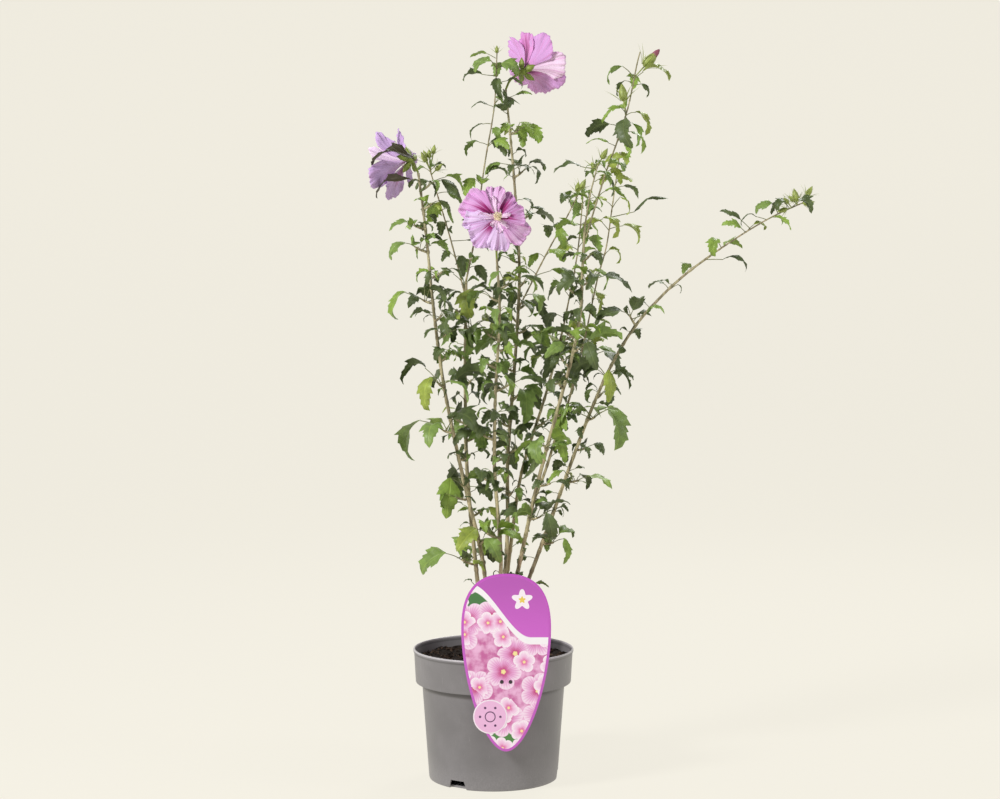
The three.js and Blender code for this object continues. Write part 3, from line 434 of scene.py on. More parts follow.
class Leaf:
    """A leaf that leaves its root at a heading and rise, its blade hanging by the given angle"""

    def __init__(self, draw, root, heading, rise, length, hang, swing=0, roll=None):
        petiole = length * (0.28 + 0.3 * draw())
        self.root = root
        self.stalk = toward(heading, rise)
        self.base = root + self.stalk * petiole
        blade_heading = heading + swing + 50 * (draw() - 0.5)
        self.way = toward(blade_heading, -hang + 40 * (draw() - 0.5))
        drawn = 90 * (draw() - 0.5)
        roll = math.radians(drawn if roll is None else roll)
        level = unit(UP - self.way * UP.dot(self.way))
        beside = np.cross(self.way, level)
        self.normal = level * math.cos(roll) + beside * math.sin(roll)
        self.side = np.cross(self.way, self.normal)
        self.length = length
        self.width = 0.62 + 0.45 * draw()
        self.curl = math.radians(15 + 60 * draw())
        self.fold = math.radians(8 + 34 * draw())

    def point(self, s, w):
        """A point of the blade: s along the midrib, w to the side"""
        turn = self.curl * s
        along = self.length * math.sin(turn) / self.curl
        down = self.length * (1 - math.cos(turn)) / self.curl
        normal = self.normal * math.cos(turn) + self.way * math.sin(turn)
        reach = w * self.length * self.width
        return (self.base + self.way * along - self.normal * down
                + self.side * reach * math.cos(self.fold)
                + normal * abs(reach) * math.sin(self.fold))

    def ring(self):
        """The outline of the blade from its right root round the tip to its left root"""
        outline = SMALL_OUTLINE if self.length < SMALL_LEAF else LEAF_OUTLINE
        right = [self.point(s, w) for s, w in outline]
        return right + [self.point(s, -w) for s, w in reversed(outline[:-1])]

    def room(self):
        """What the leaf takes up: rods along its petiole and blade, and the blade's triangles"""
        centre = self.point(LEAF_CENTRE, 0)
        ring = [self.base, *self.ring()]
        rods, flats = [], []
        for point, after in zip(ring, ring[1:] + ring[:1]):
            rods += [(point, after, EDGE_ROOM), (point, centre, BLADE_ROOM)]
            flats.append((centre, point, after))
        return Room([*rods, (self.root, self.base, PETIOLE_RADIUS)], flats, Room(rods, flats))


# ---- Room between pieces ----

LEAF_MARGIN = 1.2
OWN_MARGIN = 0.3
LEAF_TRIES = 12
MARKED_TRIES = 6
NODE_TRIES = 4
SPUR_TRIES = 13
TRY_TURN = 22
TRY_SHRINK = 0.03
LOWEST_LEAF = 196
LABEL_KEEP_OFF_Y = -106
LABEL_KEEP_OFF_Z = 318
TINY = 1e-9


class Room:
    """Round rods and flat triangles that something takes up"""

    def __init__(self, rods, flats, blade=None):
        self.start = np.array([rod[0] for rod in rods])
        self.end = np.array([rod[1] for rod in rods])
        self.radius = np.array([rod[2] for rod in rods])
        self.flats = np.array(flats).reshape(-1, 3, 3)
        self.blade = blade
        self.owner = None
        reach = self.radius[:, None]
        ends = np.vstack([self.start + reach, self.start - reach, self.end + reach, self.end - reach])
        self.low, self.high = ends.min(axis=0), ends.max(axis=0)


def limb_room(limb):
    rods = zip(limb.points[:-1], limb.points[1:], limb.radii[:-1])
    return Room(list(rods), [])


def rod_gaps(a0, a1, b0, b1):
    """The least distance between each segment of one set and each of the other"""
    u, v, w = (a1 - a0)[:, None], (b1 - b0)[None], a0[:, None] - b0[None]
    uu, uv, vv = (u * u).sum(-1), (u * v).sum(-1), (v * v).sum(-1)
    uw, vw = (u * w).sum(-1), (v * w).sum(-1)
    s = np.clip((uv * vw - vv * uw) / np.maximum(uu * vv - uv * uv, TINY), 0, 1)
    t = np.clip((uv * s + vw) / np.maximum(vv, TINY), 0, 1)
    again = np.clip((uv * t - uw) / np.maximum(uu, TINY), 0, 1)
    return np.linalg.norm(w + u * again[..., None] - v * t[..., None], axis=-1)


def pierced(start, end, flats):
    """Whether any segment passes through any triangle"""
    if not len(flats):
        return False
    along = (end - start)[:, None]
    ab, ac = (flats[:, 1] - flats[:, 0])[None], (flats[:, 2] - flats[:, 0])[None]
    offset = start[:, None] - flats[None, :, 0]
    p = np.cross(along, ac)
    det = (ab * p).sum(-1)
    safe = np.where(np.abs(det) < TINY, 1, det)
    u = (offset * p).sum(-1) / safe
    q = np.cross(offset, ab)
    v = (along * q).sum(-1) / safe
    t = (ac * q).sum(-1) / safe
    inside = (u >= 0) & (v >= 0) & (u + v <= 1) & (t >= 0) & (t <= 1)
    return bool((inside & (np.abs(det) >= TINY)).any())


def clash(one, others, margin):
    """Whether a room comes nearer to any of the others than the margin"""
    if not others:
        return False
    start = np.vstack([other.start for other in others])
    end = np.vstack([other.end for other in others])
    radius = np.concatenate([other.radius for other in others])
    flats = np.vstack([other.flats for other in others])
    gaps = rod_gaps(one.start, one.end, start, end)
    if (gaps < one.radius[:, None] + radius[None] + margin).any():
        return True
    return pierced(one.start, one.end, flats) or pierced(start, end, one.flats)


class Space:
    """All that is already in place, which a new leaf keeps clear of"""

    def __init__(self):
        self.rooms = []
        self.lows = np.empty((0, 3))
        self.highs = np.empty((0, 3))

    def add(self, room, owner):
        room.owner = owner
        self.rooms.append(room)
        self.lows = np.vstack([self.lows, room.low])
        self.highs = np.vstack([self.highs, room.high])

    def near(self, room):
        """What lies within the margin of a room's own box"""
        low, high = room.low - LEAF_MARGIN, room.high + LEAF_MARGIN
        meets = ((low <= self.highs) & (high >= self.lows)).all(axis=1)
        return [self.rooms[i] for i in np.flatnonzero(meets)]

    def fits(self, room, owner, parent=None):
        """Whether a room is clear of the pot, the label and everything in place"""
        behind_label = room.low[1] > LABEL_KEEP_OFF_Y or room.low[2] > LABEL_KEEP_OFF_Z
        if room.low[2] < LOWEST_LEAF or not behind_label:
            return False
        near = self.near(room)
        others = [other for other in near if other.owner not in (parent, owner)]
        if clash(room, others, LEAF_MARGIN):
            return False
        own = [other.blade for other in near if other.owner == owner and other.blade]
        return not (room.blade and clash(room.blade, own, OWN_MARGIN))


# ---- The whole plant ----

BUD_STALK = 12
BUD_WIDTH = 0.23
BUD_ROOM = 0.34
STEM_STEPS = 3
SHOOT_TIP_RADIUS = 1.1
BLOOM_STALK_RADII = (1.6, 2)
SPUR_RADII = (1.7, 1.3)
NEXT_LEAF_TURN = 137.5
WHORL_STEP = 2.4
MARKED_STAND_OFF = 1.5


class Plant:
    """Every limb, stem, leaf and bud of the plant, grown by the rule"""

    def __init__(self):
        self.space = Space()
        self.limbs = {}
        self.spurs = []
        self.lines = {}
        self.stalks = {}
        self.leaves = []
        self.buds = []
        self.grow_canes()
        self.grow_bloom_stalks()
        self.grow_shoots()
        for order, row in enumerate(TUFTS):
            self.grow_tuft(FIRST_TUFT_SEED + order, *row)
        for order, (name, height, heading, rise, stalk, length) in enumerate(MORE_BUDS):
            root = self.on_stem(name, height)[0]
            self.add_bud(name, root, heading, rise, length, stalk, order in PINK_BUDS)
        self.grow_marked_leaves()
        for order, row in enumerate(SPRAYS):
            self.grow_tuft(SPRAY_SEED + order, *row)
        self.grow_node_leaves()

    def take_up(self, limb, owner):
        self.space.add(limb_room(limb), owner)

    def on_stem(self, name, height):
        """The point, way and radius of a cane or a shoot at a height"""
        stems = {**self.limbs, **self.lines, **self.stalks}
        return at_height(stems[name], height)

    def grow_canes(self):
        for name, (path, start_radius, end_radius) in CANES.items():
            self.limbs[name] = course(path, CANE_STEPS, start_radius, end_radius)
        start, out = side_start(self.limbs[BOUGH["on"]], BOUGH["at"], BOUGH["heading"])
        bough = course([start, *BOUGH["path"]], CANE_STEPS, *BOUGH["r"])
        bough.ways[0] = out
        self.limbs[BOUGH["name"]] = bough
        for name, limb in self.limbs.items():
            self.take_up(limb, cane_name(name))

    def grow_bloom_stalks(self):
        for bloom in BLOOMS:
            self.space.add(Flower(bloom).room(), bloom["name"])
            start, _ = tip_start(self.limbs[bloom["on"]])
            points = [start, *bloom["path"], bloom["centre"]]
            stalk = course(points, STEM_STEPS * (len(points) - 1), *BLOOM_STALK_RADII)
            self.stalks[bloom["name"]] = stalk
            self.take_up(stalk, bloom["name"])

    def grow_shoots(self):
        for shoot in SHOOTS:
            limb = self.limbs[shoot["on"]]
            if "at" in shoot:
                start, out = side_start(limb, shoot["at"], shoot["heading"])
            else:
                start, out = tip_start(limb)
            points = [start, *shoot["path"]]
            line = course(points, STEM_STEPS * (len(points) - 1), shoot["r"], SHOOT_TIP_RADIUS)
            line.ways[0] = out
            self.lines[shoot["name"]] = line
            self.take_up(line, shoot["name"])
        for shoot in SHOOTS:
            self.grow_shoot_leaves(shoot, self.lines[shoot["name"]])

    def add_leaf(self, draw, owner, root, heading, rise, length, hang, kind, tries=LEAF_TRIES,
                 slim=None, tint=None, swing=0, roll=None, parent=None):
        """Adds a leaf, turning it until it is clear of everything else, or leaves it out"""
        for attempt in range(tries):
            turn = TRY_TURN * attempt * (draw() - 0.5)
            size = length * (1 - TRY_SHRINK * attempt)
            leaf = Leaf(draw, root, heading + turn, rise + turn / 3, size, hang, swing, roll)
            room = leaf.room()
            if self.space.fits(room, owner, parent):
                self.space.add(room, owner)
                leaf.owner, leaf.kind, leaf.slim, leaf.tint = owner, kind, slim, tint
                self.leaves.append(leaf)
                return

    def add_bud(self, owner, root, heading, rise, length, stalk=BUD_STALK, pink=False):
        """Adds a bud on its stalk, or leaves it out where it isn't clear of everything else"""
        way = toward(heading, rise)
        end = root + way * stalk
        room = Room([(root, end + way * length, length * BUD_ROOM)], [])
        if self.space.fits(room, owner):
            self.space.add(room, owner)
            self.buds.append((root, end, way, length, pink))

    def grow_shoot_leaves(self, shoot, line):
        """Whorls of leaves at even steps up a shoot, then its buds and the small leaves at its tip"""
        draw = Draws(shoot["seed"])
        name, whorl, leaf = shoot["name"], shoot["whorl"], shoot["leaf"]
        travelled = 0
        due = shoot["step"] * 0.45
        turn = 360 * draw()
        for start, end in zip(line.points[:-1], line.points[1:]):
            length = np.linalg.norm(end - start)
            while due < travelled + length:
                root = start + (end - start) * (due - travelled) / length
                for k in range(whorl):
                    size = leaf * (0.65 + 0.45 * draw())
                    foot = root - unit(end - start) * WHORL_STEP * k
                    rise = 15 + 40 * draw()
                    hang = 65 * draw() - 5
                    self.add_leaf(draw, name, foot, turn + k * 360 / whorl, rise, size, hang, "shoot")
                turn += NEXT_LEAF_TURN + 40 * (draw() - 0.5)
                due += shoot["step"] * (0.8 + 0.4 * draw())
            travelled += length
        tip, way = line.points[-1], line.ways[-1]
        heading = math.degrees(math.atan2(way[1], way[0]))
        for k in range(shoot["buds"]):
            root = tip + way * (-1 - 9 * k)
            self.add_bud(name, root, heading + 110 * k, 60 if k == 0 else 35, 17 - 2 * k)
        for k in range(3 if shoot["buds"] in (1, 2) else 0):
            root = tip + way * (-1.5 - 2.5 * k)
            rise = 30 + 30 * draw()
            hang = 50 * draw()
            self.add_leaf(draw, name, root, heading + 60 + 120 * k, rise, leaf * 0.62, hang, "shoot")

    def new_spur(self, owner, on, height, heading, reach):
        """A spur beside a cane, turned a little at a time until it is clear of the other canes"""
        for attempt in range(SPUR_TRIES):
            swing = 25 * math.ceil(attempt / 2) * (1 if attempt % 2 == 0 else -1)
            start, out = side_start(self.limbs[on], height, heading + swing)
            end = start + unit(out + UP * 0.5) * reach
            spur = course([start, end], 1, *SPUR_RADII)
            spur.ways[0] = out
            if self.space.fits(limb_room(spur), owner, cane_name(on)):
                break
        return spur, heading + swing

    def grow_tuft(self, seed, on, height, heading, count, length, hang):
        """A short spur with leaves fanned round it, the first one its largest"""
        draw = Draws(seed)
        name = f"tuft_{on}_{height}"
        spur, facing = self.new_spur(name, on, height, heading, 13 + 6 * draw())
        self.spurs.append(spur)
        self.take_up(spur, name)
        start, end = spur.points
        for i in range(count):
            fan, rise, size, droop = 0, 25, length, hang
            if i > 0:
                fan = (-1 if i % 2 == 0 else 1) * (38 + 26 * i + 20 * (draw() - 0.5))
                rise = 12 + 45 * draw()
                size = length * (0.62 + 0.4 * draw())
                droop = 55 * draw() - 5
            root = start + (end - start) * (0.95 - 0.13 * i)
            slim, tint = (1, FIRST_LEAF_TINTS.get(name)) if i == 0 else (None, None)
            self.add_leaf(draw, name, root, facing + fan, rise, size, droop, "tuft",
                          slim=slim, tint=tint)

    def grow_marked_leaves(self):
        """The leaves that are placed one by one"""
        draw = Draws(MARKED_SEED)
        for name, rows in MARKED_LEAVES.items():
            on_limb = name in self.limbs
            owner, kind = (cane_name(name), "node") if on_limb else (name, "shoot")
            for height, heading, rise, length, hang, slim, tint in rows:
                root = self.on_stem(name, height)[0] + toward(heading, 0) * MARKED_STAND_OFF
                self.add_leaf(draw, owner, root, heading, rise, length, hang, kind, MARKED_TRIES,
                              slim, tint)
        for name, height, heading, swing, rise, length, hang, roll in BLOOM_LEAVES:
            root = self.on_stem(name, height)[0] + toward(heading, 0) * MARKED_STAND_OFF
            self.add_leaf(draw, "bloom_left", root, heading, rise, length, hang, "shoot", LEAF_TRIES,
                          BLOOM_LEAF_WIDTH, BROWN_LEAF, swing, roll, "cane_b")

    def grow_node_leaves(self):
        """Small leaves at the canes' own nodes, between the tufts"""
        for order, (name, limb) in enumerate(self.limbs.items()):
            draw = Draws(NODE_SEED + order)
            foot, tip = limb.points[0][2], limb.points[-1][2]
            height = foot + FIRST_NODE
            turn = 360 * draw()
            while height < tip - 6:
                for k in range(1 + int(2 * draw())):
                    heading = turn + 150 * k
                    root, out = side_start(limb, height + 3 * k, heading)
                    root = root - out * (GAP + 0.4)
                    size = NODE_LEAF * (0.5 + 0.5 * draw())
                    rise = 10 + 45 * draw()
                    self.add_leaf(draw, cane_name(name), root, heading, rise, size,
                                  60 * draw() - 5, "node", NODE_TRIES)
                turn += NEXT_LEAF_TURN + 30 * (draw() - 0.5)
                height += NODE_SPACING * (0.7 + 0.6 * draw())


def cane_name(name):
    """The CAD node of a cane or of the bough"""
    return f"bough_{name}" if name == BOUGH["name"] else f"cane_{name}"


class Flower:
    """A bloom's own directions: the way it faces, its right and its upper side"""

    def __init__(self, bloom):
        self.axis = unit(np.array(bloom["face"], float))
        self.right = unit(np.cross(self.axis, UP))
        self.above = np.cross(self.right, self.axis)
        self.centre = np.array(bloom["centre"], float)
        self.radius, self.open, self.seed = bloom["radius"], bloom["open"], bloom["seed"]
        self.name, self.ruffle = bloom["name"], bloom["ruffle"]

    def around(self, turn):
        """The direction across the bloom at a turn, in radians, round the way it faces"""
        return np.multiply.outer(np.cos(turn), self.right) + np.multiply.outer(np.sin(turn), self.above)

    def room(self):
        """The room a bloom needs: rods from its heart along its petals"""
        angle = math.radians(self.open * 0.92)
        rods = []
        for k in range(10):
            way = self.axis * math.cos(angle) + self.around(math.radians(36 * k)) * math.sin(angle)
            rods.append((self.centre, self.centre + way * self.radius * 0.92, 9))
        return Room(rods, [])


# ---- Mesh making ----

CREASE = math.radians(35)
MARK_TURN = 6.3
PHASES = 6.28
DOUBLES = 0.00002


class Heap:
    """Points and faces of many small shapes, which become one mesh"""

    def __init__(self, name):
        self.name = name
        self.points, self.faces, self.tints, self.marks = [], [], [], []
        self.total = 0

    def add(self, points, faces, tint=0, marks=None):
        """Adds a shape. Marks are its points' places in the piece's UV map"""
        points = np.asarray(points, float)
        self.points.append(points)
        self.marks.append(np.zeros((len(points), 2)) if marks is None else marks)
        self.faces += [tuple(k + self.total for k in face) for face in faces]
        self.tints += [tint] * len(faces)
        self.total += len(points)

    def tube(self, line, radii, sides, tint=0):
        """Adds a closed round tube along a line"""
        points, faces, marks = rod(line, radii, sides)
        self.add(points, faces, tint, marks)

    def piece(self, finishes, smooth=True):
        """The heap as one mesh object, in metres"""
        mesh = bpy.data.meshes.new(self.name)
        mesh.from_pydata((np.vstack(self.points) * MM).tolist(), [], self.faces)
        for finish in finishes:
            mesh.materials.append(finish)
        mesh.polygons.foreach_set("material_index", self.tints)
        mesh.polygons.foreach_set("use_smooth", [smooth] * len(mesh.polygons))
        corners = np.empty(len(mesh.loops), int)
        mesh.loops.foreach_get("vertex_index", corners)
        layer = mesh.uv_layers.new(name="shape")
        layer.uv.foreach_set("vector", np.vstack(self.marks)[corners].ravel())
        mesh.update()
        return linked(self.name, mesh)


def tube_faces(rings, sides, mirrored=False):
    """The faces of a closed tube, whose rings of points follow one another"""
    faces = []
    for i in range(rings - 1):
        low, high = i * sides, (i + 1) * sides
        for k in range(sides):
            after = (k + 1) % sides
            faces.append((low + k, low + after, high + after, high + k))
    faces.append(tuple(range(sides))[::-1])
    faces.append(tuple(range((rings - 1) * sides, rings * sides)))
    return [(face[0], *face[:0:-1]) for face in faces] if mirrored else faces


def rod(line, radii, sides):
    """A closed round tube along a line, as points, faces and marks"""
    line = np.asarray(line, float)
    radii = np.broadcast_to(radii, len(line))
    ways = np.gradient(line, axis=0)
    across = np.array([1.0, 0, 0]) if abs(unit(ways[0])[0]) < 0.8 else np.array([0, 1.0, 0])
    turns = np.arange(sides) * 2 * math.pi / sides
    points = []
    for middle, way, radius in zip(line, ways, radii):
        way = unit(way)
        across = unit(across - way * across.dot(way))
        beside = np.cross(way, across)
        ring = np.outer(np.cos(turns), across) + np.outer(np.sin(turns), beside)
        points.append(middle + radius * ring)
    along = np.repeat(np.linspace(0, 1, len(line)), sides)
    marks = np.column_stack([np.tile(turns / MARK_TURN, len(line)), along])
    return np.vstack(points), tube_faces(len(line), sides), marks


def grid_faces(rows, columns):
    """The faces of a sheet of points, row by row"""
    return [(i * columns + k, i * columns + k + 1, (i + 1) * columns + k + 1, (i + 1) * columns + k)
            for i in range(rows - 1) for k in range(columns - 1)]


def linked(name, data):
    """A new object in the scene"""
    made = bpy.data.objects.new(name, data)
    bpy.context.scene.collection.objects.link(made)
    return made


def set_mode(mode):
    bpy.ops.object.mode_set(mode=mode)


def deselect():
    if bpy.context.object and bpy.context.object.mode != "OBJECT":
        set_mode("OBJECT")
    bpy.ops.object.select_all(action="DESELECT")


def make_active(piece):
    deselect()
    piece.select_set(True)
    bpy.context.view_layer.objects.active = piece


def modify(piece, name, kind, **settings):
    """Adds a modifier with its settings"""
    modifier = piece.modifiers.new(name, kind)
    for setting, value in settings.items():
        setattr(modifier, setting, value)


def apply_modifiers(piece):
    make_active(piece)
    for modifier in list(piece.modifiers):
        bpy.ops.object.modifier_apply(modifier=modifier.name)


def right_way_out(piece):
    """Merges doubles and turns all faces outwards"""
    make_active(piece)
    set_mode("EDIT")
    bpy.ops.mesh.select_all(action="SELECT")
    bpy.ops.mesh.remove_doubles(threshold=DOUBLES)
    bpy.ops.mesh.normals_make_consistent(inside=False)
    set_mode("OBJECT")


def place(piece, slot, *nodes):
    """The piece rides on the plant's one body and stands for its CAD nodes"""
    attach(piece, "root")
    if nodes:
        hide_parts(*nodes)


def turned(name, profile, sides):
    """A round piece: a disc extruded and resized from point to point of a profile"""
    radius, height = profile[0]
    deselect()
    bpy.ops.mesh.primitive_circle_add(vertices=sides, radius=radius * MM, fill_type="NGON",
                                      location=(0, 0, height * MM))
    made = bpy.context.object
    made.name = name
    bpy.ops.object.transform_apply(location=True, rotation=False, scale=False)
    set_mode("EDIT")
    for next_radius, next_height in profile[1:]:
        rise = (next_height - height) * MM
        bpy.ops.mesh.extrude_region_move(TRANSFORM_OT_translate={"value": (0, 0, rise)})
        ratio = next_radius / radius
        bpy.ops.transform.resize(value=(ratio, ratio, 1), center_override=(0, 0, next_height * MM))
        radius, height = next_radius, next_height
    set_mode("OBJECT")
    right_way_out(made)
    bpy.ops.object.shade_smooth_by_angle(angle=CREASE)
    return made


# ---- Materials ----


class Finish:
    """A material being put together from nodes"""

    def __init__(self, name, roughness=0.5, **sockets):
        self.material = bpy.data.materials.new(name)
        self.material.use_nodes = True
        self.tree = self.material.node_tree
        self.shader = self.tree.nodes["Principled BSDF"]
        self.put(self.shader.inputs["Roughness"], roughness)
        for socket, value in sockets.items():
            self.put(self.shader.inputs[socket.replace("_", " ")], value)

    def put(self, socket, value):
        if isinstance(value, bpy.types.NodeSocket):
            self.tree.links.new(value, socket)
        elif hasattr(value, "__len__") and len(value) == 3 and len(socket.default_value) == 4:
            socket.default_value = (*value, 1)
        else:
            socket.default_value = value

    def node(self, kind, output=0, inputs=(), **settings):
        """A node with its settings and inputs; gives the wanted output"""
        made = self.tree.nodes.new(kind)
        for setting, value in settings.items():
            setattr(made, setting, value)
        for key, value in dict(inputs).items():
            self.put(made.inputs[key], value)
        return made.outputs[output]

    def place(self, which="Object", stretch=(1, 1, 1)):
        """Object or UV coordinates, stretched"""
        where = self.node("ShaderNodeTexCoord", which)
        return self.node("ShaderNodeMapping", inputs={0: where, 3: stretch})

    def noise(self, vector, scale, detail=4, roughness=0.55):
        return self.node("ShaderNodeTexNoise", 0, {"Vector": vector, "Scale": scale, "Detail": detail,
                                                   "Roughness": roughness})

    def math(self, operation, first, second=0.0, third=0.0):
        return self.node("ShaderNodeMath", 0, {0: first, 1: second, 2: third}, operation=operation)

    def plus(self, first, second):
        return self.math("ADD", first, second)

    def minus(self, first, second):
        return self.math("SUBTRACT", first, second)

    def times(self, first, second):
        return self.math("MULTIPLY", first, second)

    def span(self, value, low, high, start=0.0, end=1.0):
        """The value between low and high, as a share between start and end"""
        return self.node("ShaderNodeMapRange", 0, {0: value, 1: low, 2: high, 3: start, 4: end},
                         interpolation_type="SMOOTHSTEP")

    def mix(self, share, first, second):
        return self.node("ShaderNodeMix", 2, {0: share, 6: first, 7: second}, data_type="RGBA")

    def fade(self, where, first, second):
        """One colour into another as a value goes from low to high: the value, low and high, and
        the shares of the second colour at both where they aren't 0 and 1"""
        return self.mix(self.span(*where), first, second)

    def away(self, spot, centre):
        """How far a spot is from a centre along both ways of a plane, and in all"""
        apart = self.node("ShaderNodeVectorMath", 0, {0: spot, 1: centre}, operation="SUBTRACT")
        far = self.node("ShaderNodeVectorMath", 1, {0: apart}, operation="LENGTH")
        across, up, _ = self.split(apart)
        return across, up, far

    def split(self, vector):
        """The three parts of a vector"""
        made = self.tree.nodes.new("ShaderNodeSeparateXYZ")
        self.put(made.inputs[0], vector)
        return made.outputs

    def paint(self, colour):
        self.put(self.shader.inputs["Base Color"], colour)
        return self

    def bump(self, height, depth, strength=1.0):
        """Relief of the given depth in metres"""
        bump = self.node("ShaderNodeBump", 0, {"Height": height, "Distance": depth,
                                               "Strength": strength})
        self.put(self.shader.inputs["Normal"], bump)
        return self


def scaled(colour, factor):
    return tuple(min(1.0, part * factor) for part in colour)


def blend(first, second, share):
    return tuple(a + (b - a) * share for a, b in zip(first, second))


def leaf_finish(name, colour):
    """Green blade: paler midrib and side veins, uneven green, raised between its veins"""
    finish = Finish(name, 0.46, Specular_IOR_Level=0.45)
    across, along, _ = finish.split(finish.node("ShaderNodeTexCoord", "UV"))
    off_rib = finish.math("ABSOLUTE", finish.minus(across, 0.5))
    rib = finish.span(off_rib, 0.012, 0.03, 1, 0)
    slant = finish.minus(along, finish.times(off_rib, 0.75))
    waves = finish.math("SINE", finish.times(slant, 44))
    veins = finish.times(finish.span(waves, 0.9, 1), 0.6)
    lines = finish.math("MAXIMUM", rib, veins)
    patches = finish.noise(finish.place(), 90)
    body = finish.fade((patches, 0.3, 0.7), scaled(colour, 0.8), scaled(colour, 1.22))
    vein_colour = (colour[0] * 1.5 + 0.03, colour[1] * 1.4 + 0.03, colour[2] * 1.3 + 0.01)
    finish.paint(finish.mix(finish.times(lines, 0.45), body, vein_colour))
    finish.bump(finish.minus(patches, lines), 0.0005, 0.7)
    return finish.material


def pinkish(colour):
    """A colour with less green and blue in it"""
    return (colour[0] * 0.95, colour[1] * 0.68, colour[2] * 0.8)


def stem_finish(name, low, high, low_height, high_height):
    """Bark that greens with height: long bands of painted shade down its sides, long streaks, pale pores"""
    finish = Finish(name, 0.7, Specular_IOR_Level=0.3)
    where = finish.place()
    height = finish.split(where)[2]
    streaks = finish.noise(finish.place(stretch=(1, 1, 0.06)), 1500, 3)
    blotches = finish.noise(where, 60, 3)
    base = finish.fade((height, low_height, high_height), low, high)
    # Painted shade: a slow noise stretched along the height darkens long bands down the canes, standing for
    # their shaded sides
    sides = finish.noise(finish.place(stretch=(1, 1, 0.05)), 210, 1)
    base = finish.fade((blotches, 0.5, 0.75, 0, 0.45), base, pinkish(low))
    base = finish.fade((sides, 0.42, 0.58, 0, 0.75), base, scaled(low, 0.3))
    base = finish.fade((streaks, 0.4, 0.7, 0, 0.55), base, scaled(low, 0.28))
    pores = finish.node("ShaderNodeTexVoronoi", 0, {"Vector": finish.place(stretch=(1, 1, 0.45)),
                                                    "Scale": 420})
    pore = finish.span(pores, 0.1, 0.24, 1, 0)
    finish.paint(finish.mix(finish.times(pore, 0.6), base, scaled(low, 1.5)))
    finish.bump(finish.plus(streaks, pore), 0.0004, 0.8)
    return finish.material


def plain_green(name, colour):
    """Smooth green stalk or cup with slightly uneven colour"""
    finish = Finish(name)
    patches = finish.noise(finish.place(), 240)
    finish.paint(finish.fade((patches, 0.3, 0.7), scaled(colour, 0.72), scaled(colour, 1.2)))
    finish.bump(patches, 0.0003)
    return finish.material


# How far out along a petal, as a share of its length, its dark eye reaches where it takes it all
EYE_REACH = 0.5


def petal_finish(name, body, edge, eye):
    """Thin petal: magenta eye that runs out in streaks, fine fanned veins, a pale edge"""
    finish = Finish(name, 0.6, Sheen_Weight=0.2, Sheen_Roughness=0.5, Specular_IOR_Level=0.25)
    across, along, _ = finish.split(finish.node("ShaderNodeTexCoord", "UV"))
    off_middle = finish.minus(finish.math("FRACT", across), 0.5)
    streaks = finish.noise(finish.place("UV", (15, 0.8, 1)), 1, 3, 0.6)
    veins = finish.noise(finish.place("UV", (19, 0.6, 1)), 1, 2)
    base = finish.fade((along, 0.3, 1), body, edge)
    base = finish.fade((veins, 0.5, 0.62, 0, 0.75), base, blend(body, eye, 0.34))
    base = finish.fade((streaks, 0.55, 0.8, 0, 0.35), base, edge)
    beside = finish.times(finish.math("POWER", finish.math("ABSOLUTE", off_middle), 2), 1.6)
    reach = finish.plus(beside, along)
    reach = finish.plus(reach, finish.times(finish.minus(streaks, 0.5), 0.7))
    heart = finish.span(reach, EYE_REACH - 0.2, EYE_REACH + 0.04, 1, 0)
    dark = finish.fade((reach, 0.16, 0.36), scaled(eye, 0.3), eye)
    finish.paint(finish.mix(heart, base, dark))
    finish.bump(finish.plus(streaks, veins), 0.0004, 0.5)
    return finish.material


def beads_finish(name, colour):
    """Powdery pollen-covered stamens"""
    finish = Finish(name, 0.8, Sheen_Weight=0.4)
    grains = finish.noise(finish.place(), 900)
    finish.paint(finish.mix(grains, scaled(colour, 0.75), scaled(colour, 1.15)))
    finish.bump(grains, 0.0004)
    return finish.material


def height_band(finish, height, rise, fall, least, most):
    """A share that goes from least to most over some heights, and down to nothing over others"""
    up = finish.span(height, rise[0] * MM, rise[1] * MM, least, most)
    return finish.times(up, finish.span(height, fall[0] * MM, fall[1] * MM, 1, 0))


def pot_finish(colour):
    """Moulded grey plastic: faint swirls, scuffs, a dusty foot, a painted highlight on the rim's top edge,
    and painted shade under the rim bead and the collar
    """
    finish = Finish("pot_plastic", Specular_IOR_Level=0.45)
    where = finish.place()
    clouds = finish.noise(where, 14, 5)
    scuffs = finish.noise(finish.place(stretch=(1, 1, 0.1)), 330, 5, 0.7)
    dust = finish.noise(where, 420, 3)
    base = finish.fade((clouds, 0.35, 0.7), scaled(colour, 0.88), scaled(colour, 1.1))
    base = finish.fade((scuffs, 0.6, 0.76, 0, 0.5), base, scaled(colour, 1.7))
    height = finish.split(where)[2]
    foot = finish.span(height, 0.0, 0.05, 0.8, 0)
    base = finish.mix(finish.times(foot, dust), base, scaled(colour, 1.7))
    # Painted highlight: a pale band along the top edge of the rim, where light catches it
    lip_highlight = finish.span(height, (POT_HEIGHT - 2.8) * MM, (POT_HEIGHT - 1.8) * MM, 0, 0.85)
    base = finish.mix(lip_highlight, base, scaled(colour, 2.5))
    collar_foot = POT_HEIGHT - COLLAR_HEIGHT
    # Painted shade: a dark line under the rim's bead, and a painted shadow under the collar that fades to a
    # slight painted shade over the whole wall below it
    shade_under_lip = (POT_HEIGHT - 7.4, POT_HEIGHT - 5.6), (POT_HEIGHT - 4.8, POT_HEIGHT - 4.2), 0, 0.6
    shadow_under_collar = (collar_foot - 9, collar_foot - 2), (collar_foot, collar_foot + 1), 0.17, 0.72
    for band in (shade_under_lip, shadow_under_collar):
        base = finish.mix(height_band(finish, height, *band), base, scaled(colour, 0.35))
    finish.paint(base)
    finish.put(finish.shader.inputs["Roughness"], finish.span(clouds, 0.3, 0.7, 0.34, 0.5))
    finish.bump(finish.plus(dust, scuffs), 0.00025, 0.5)
    return finish.material


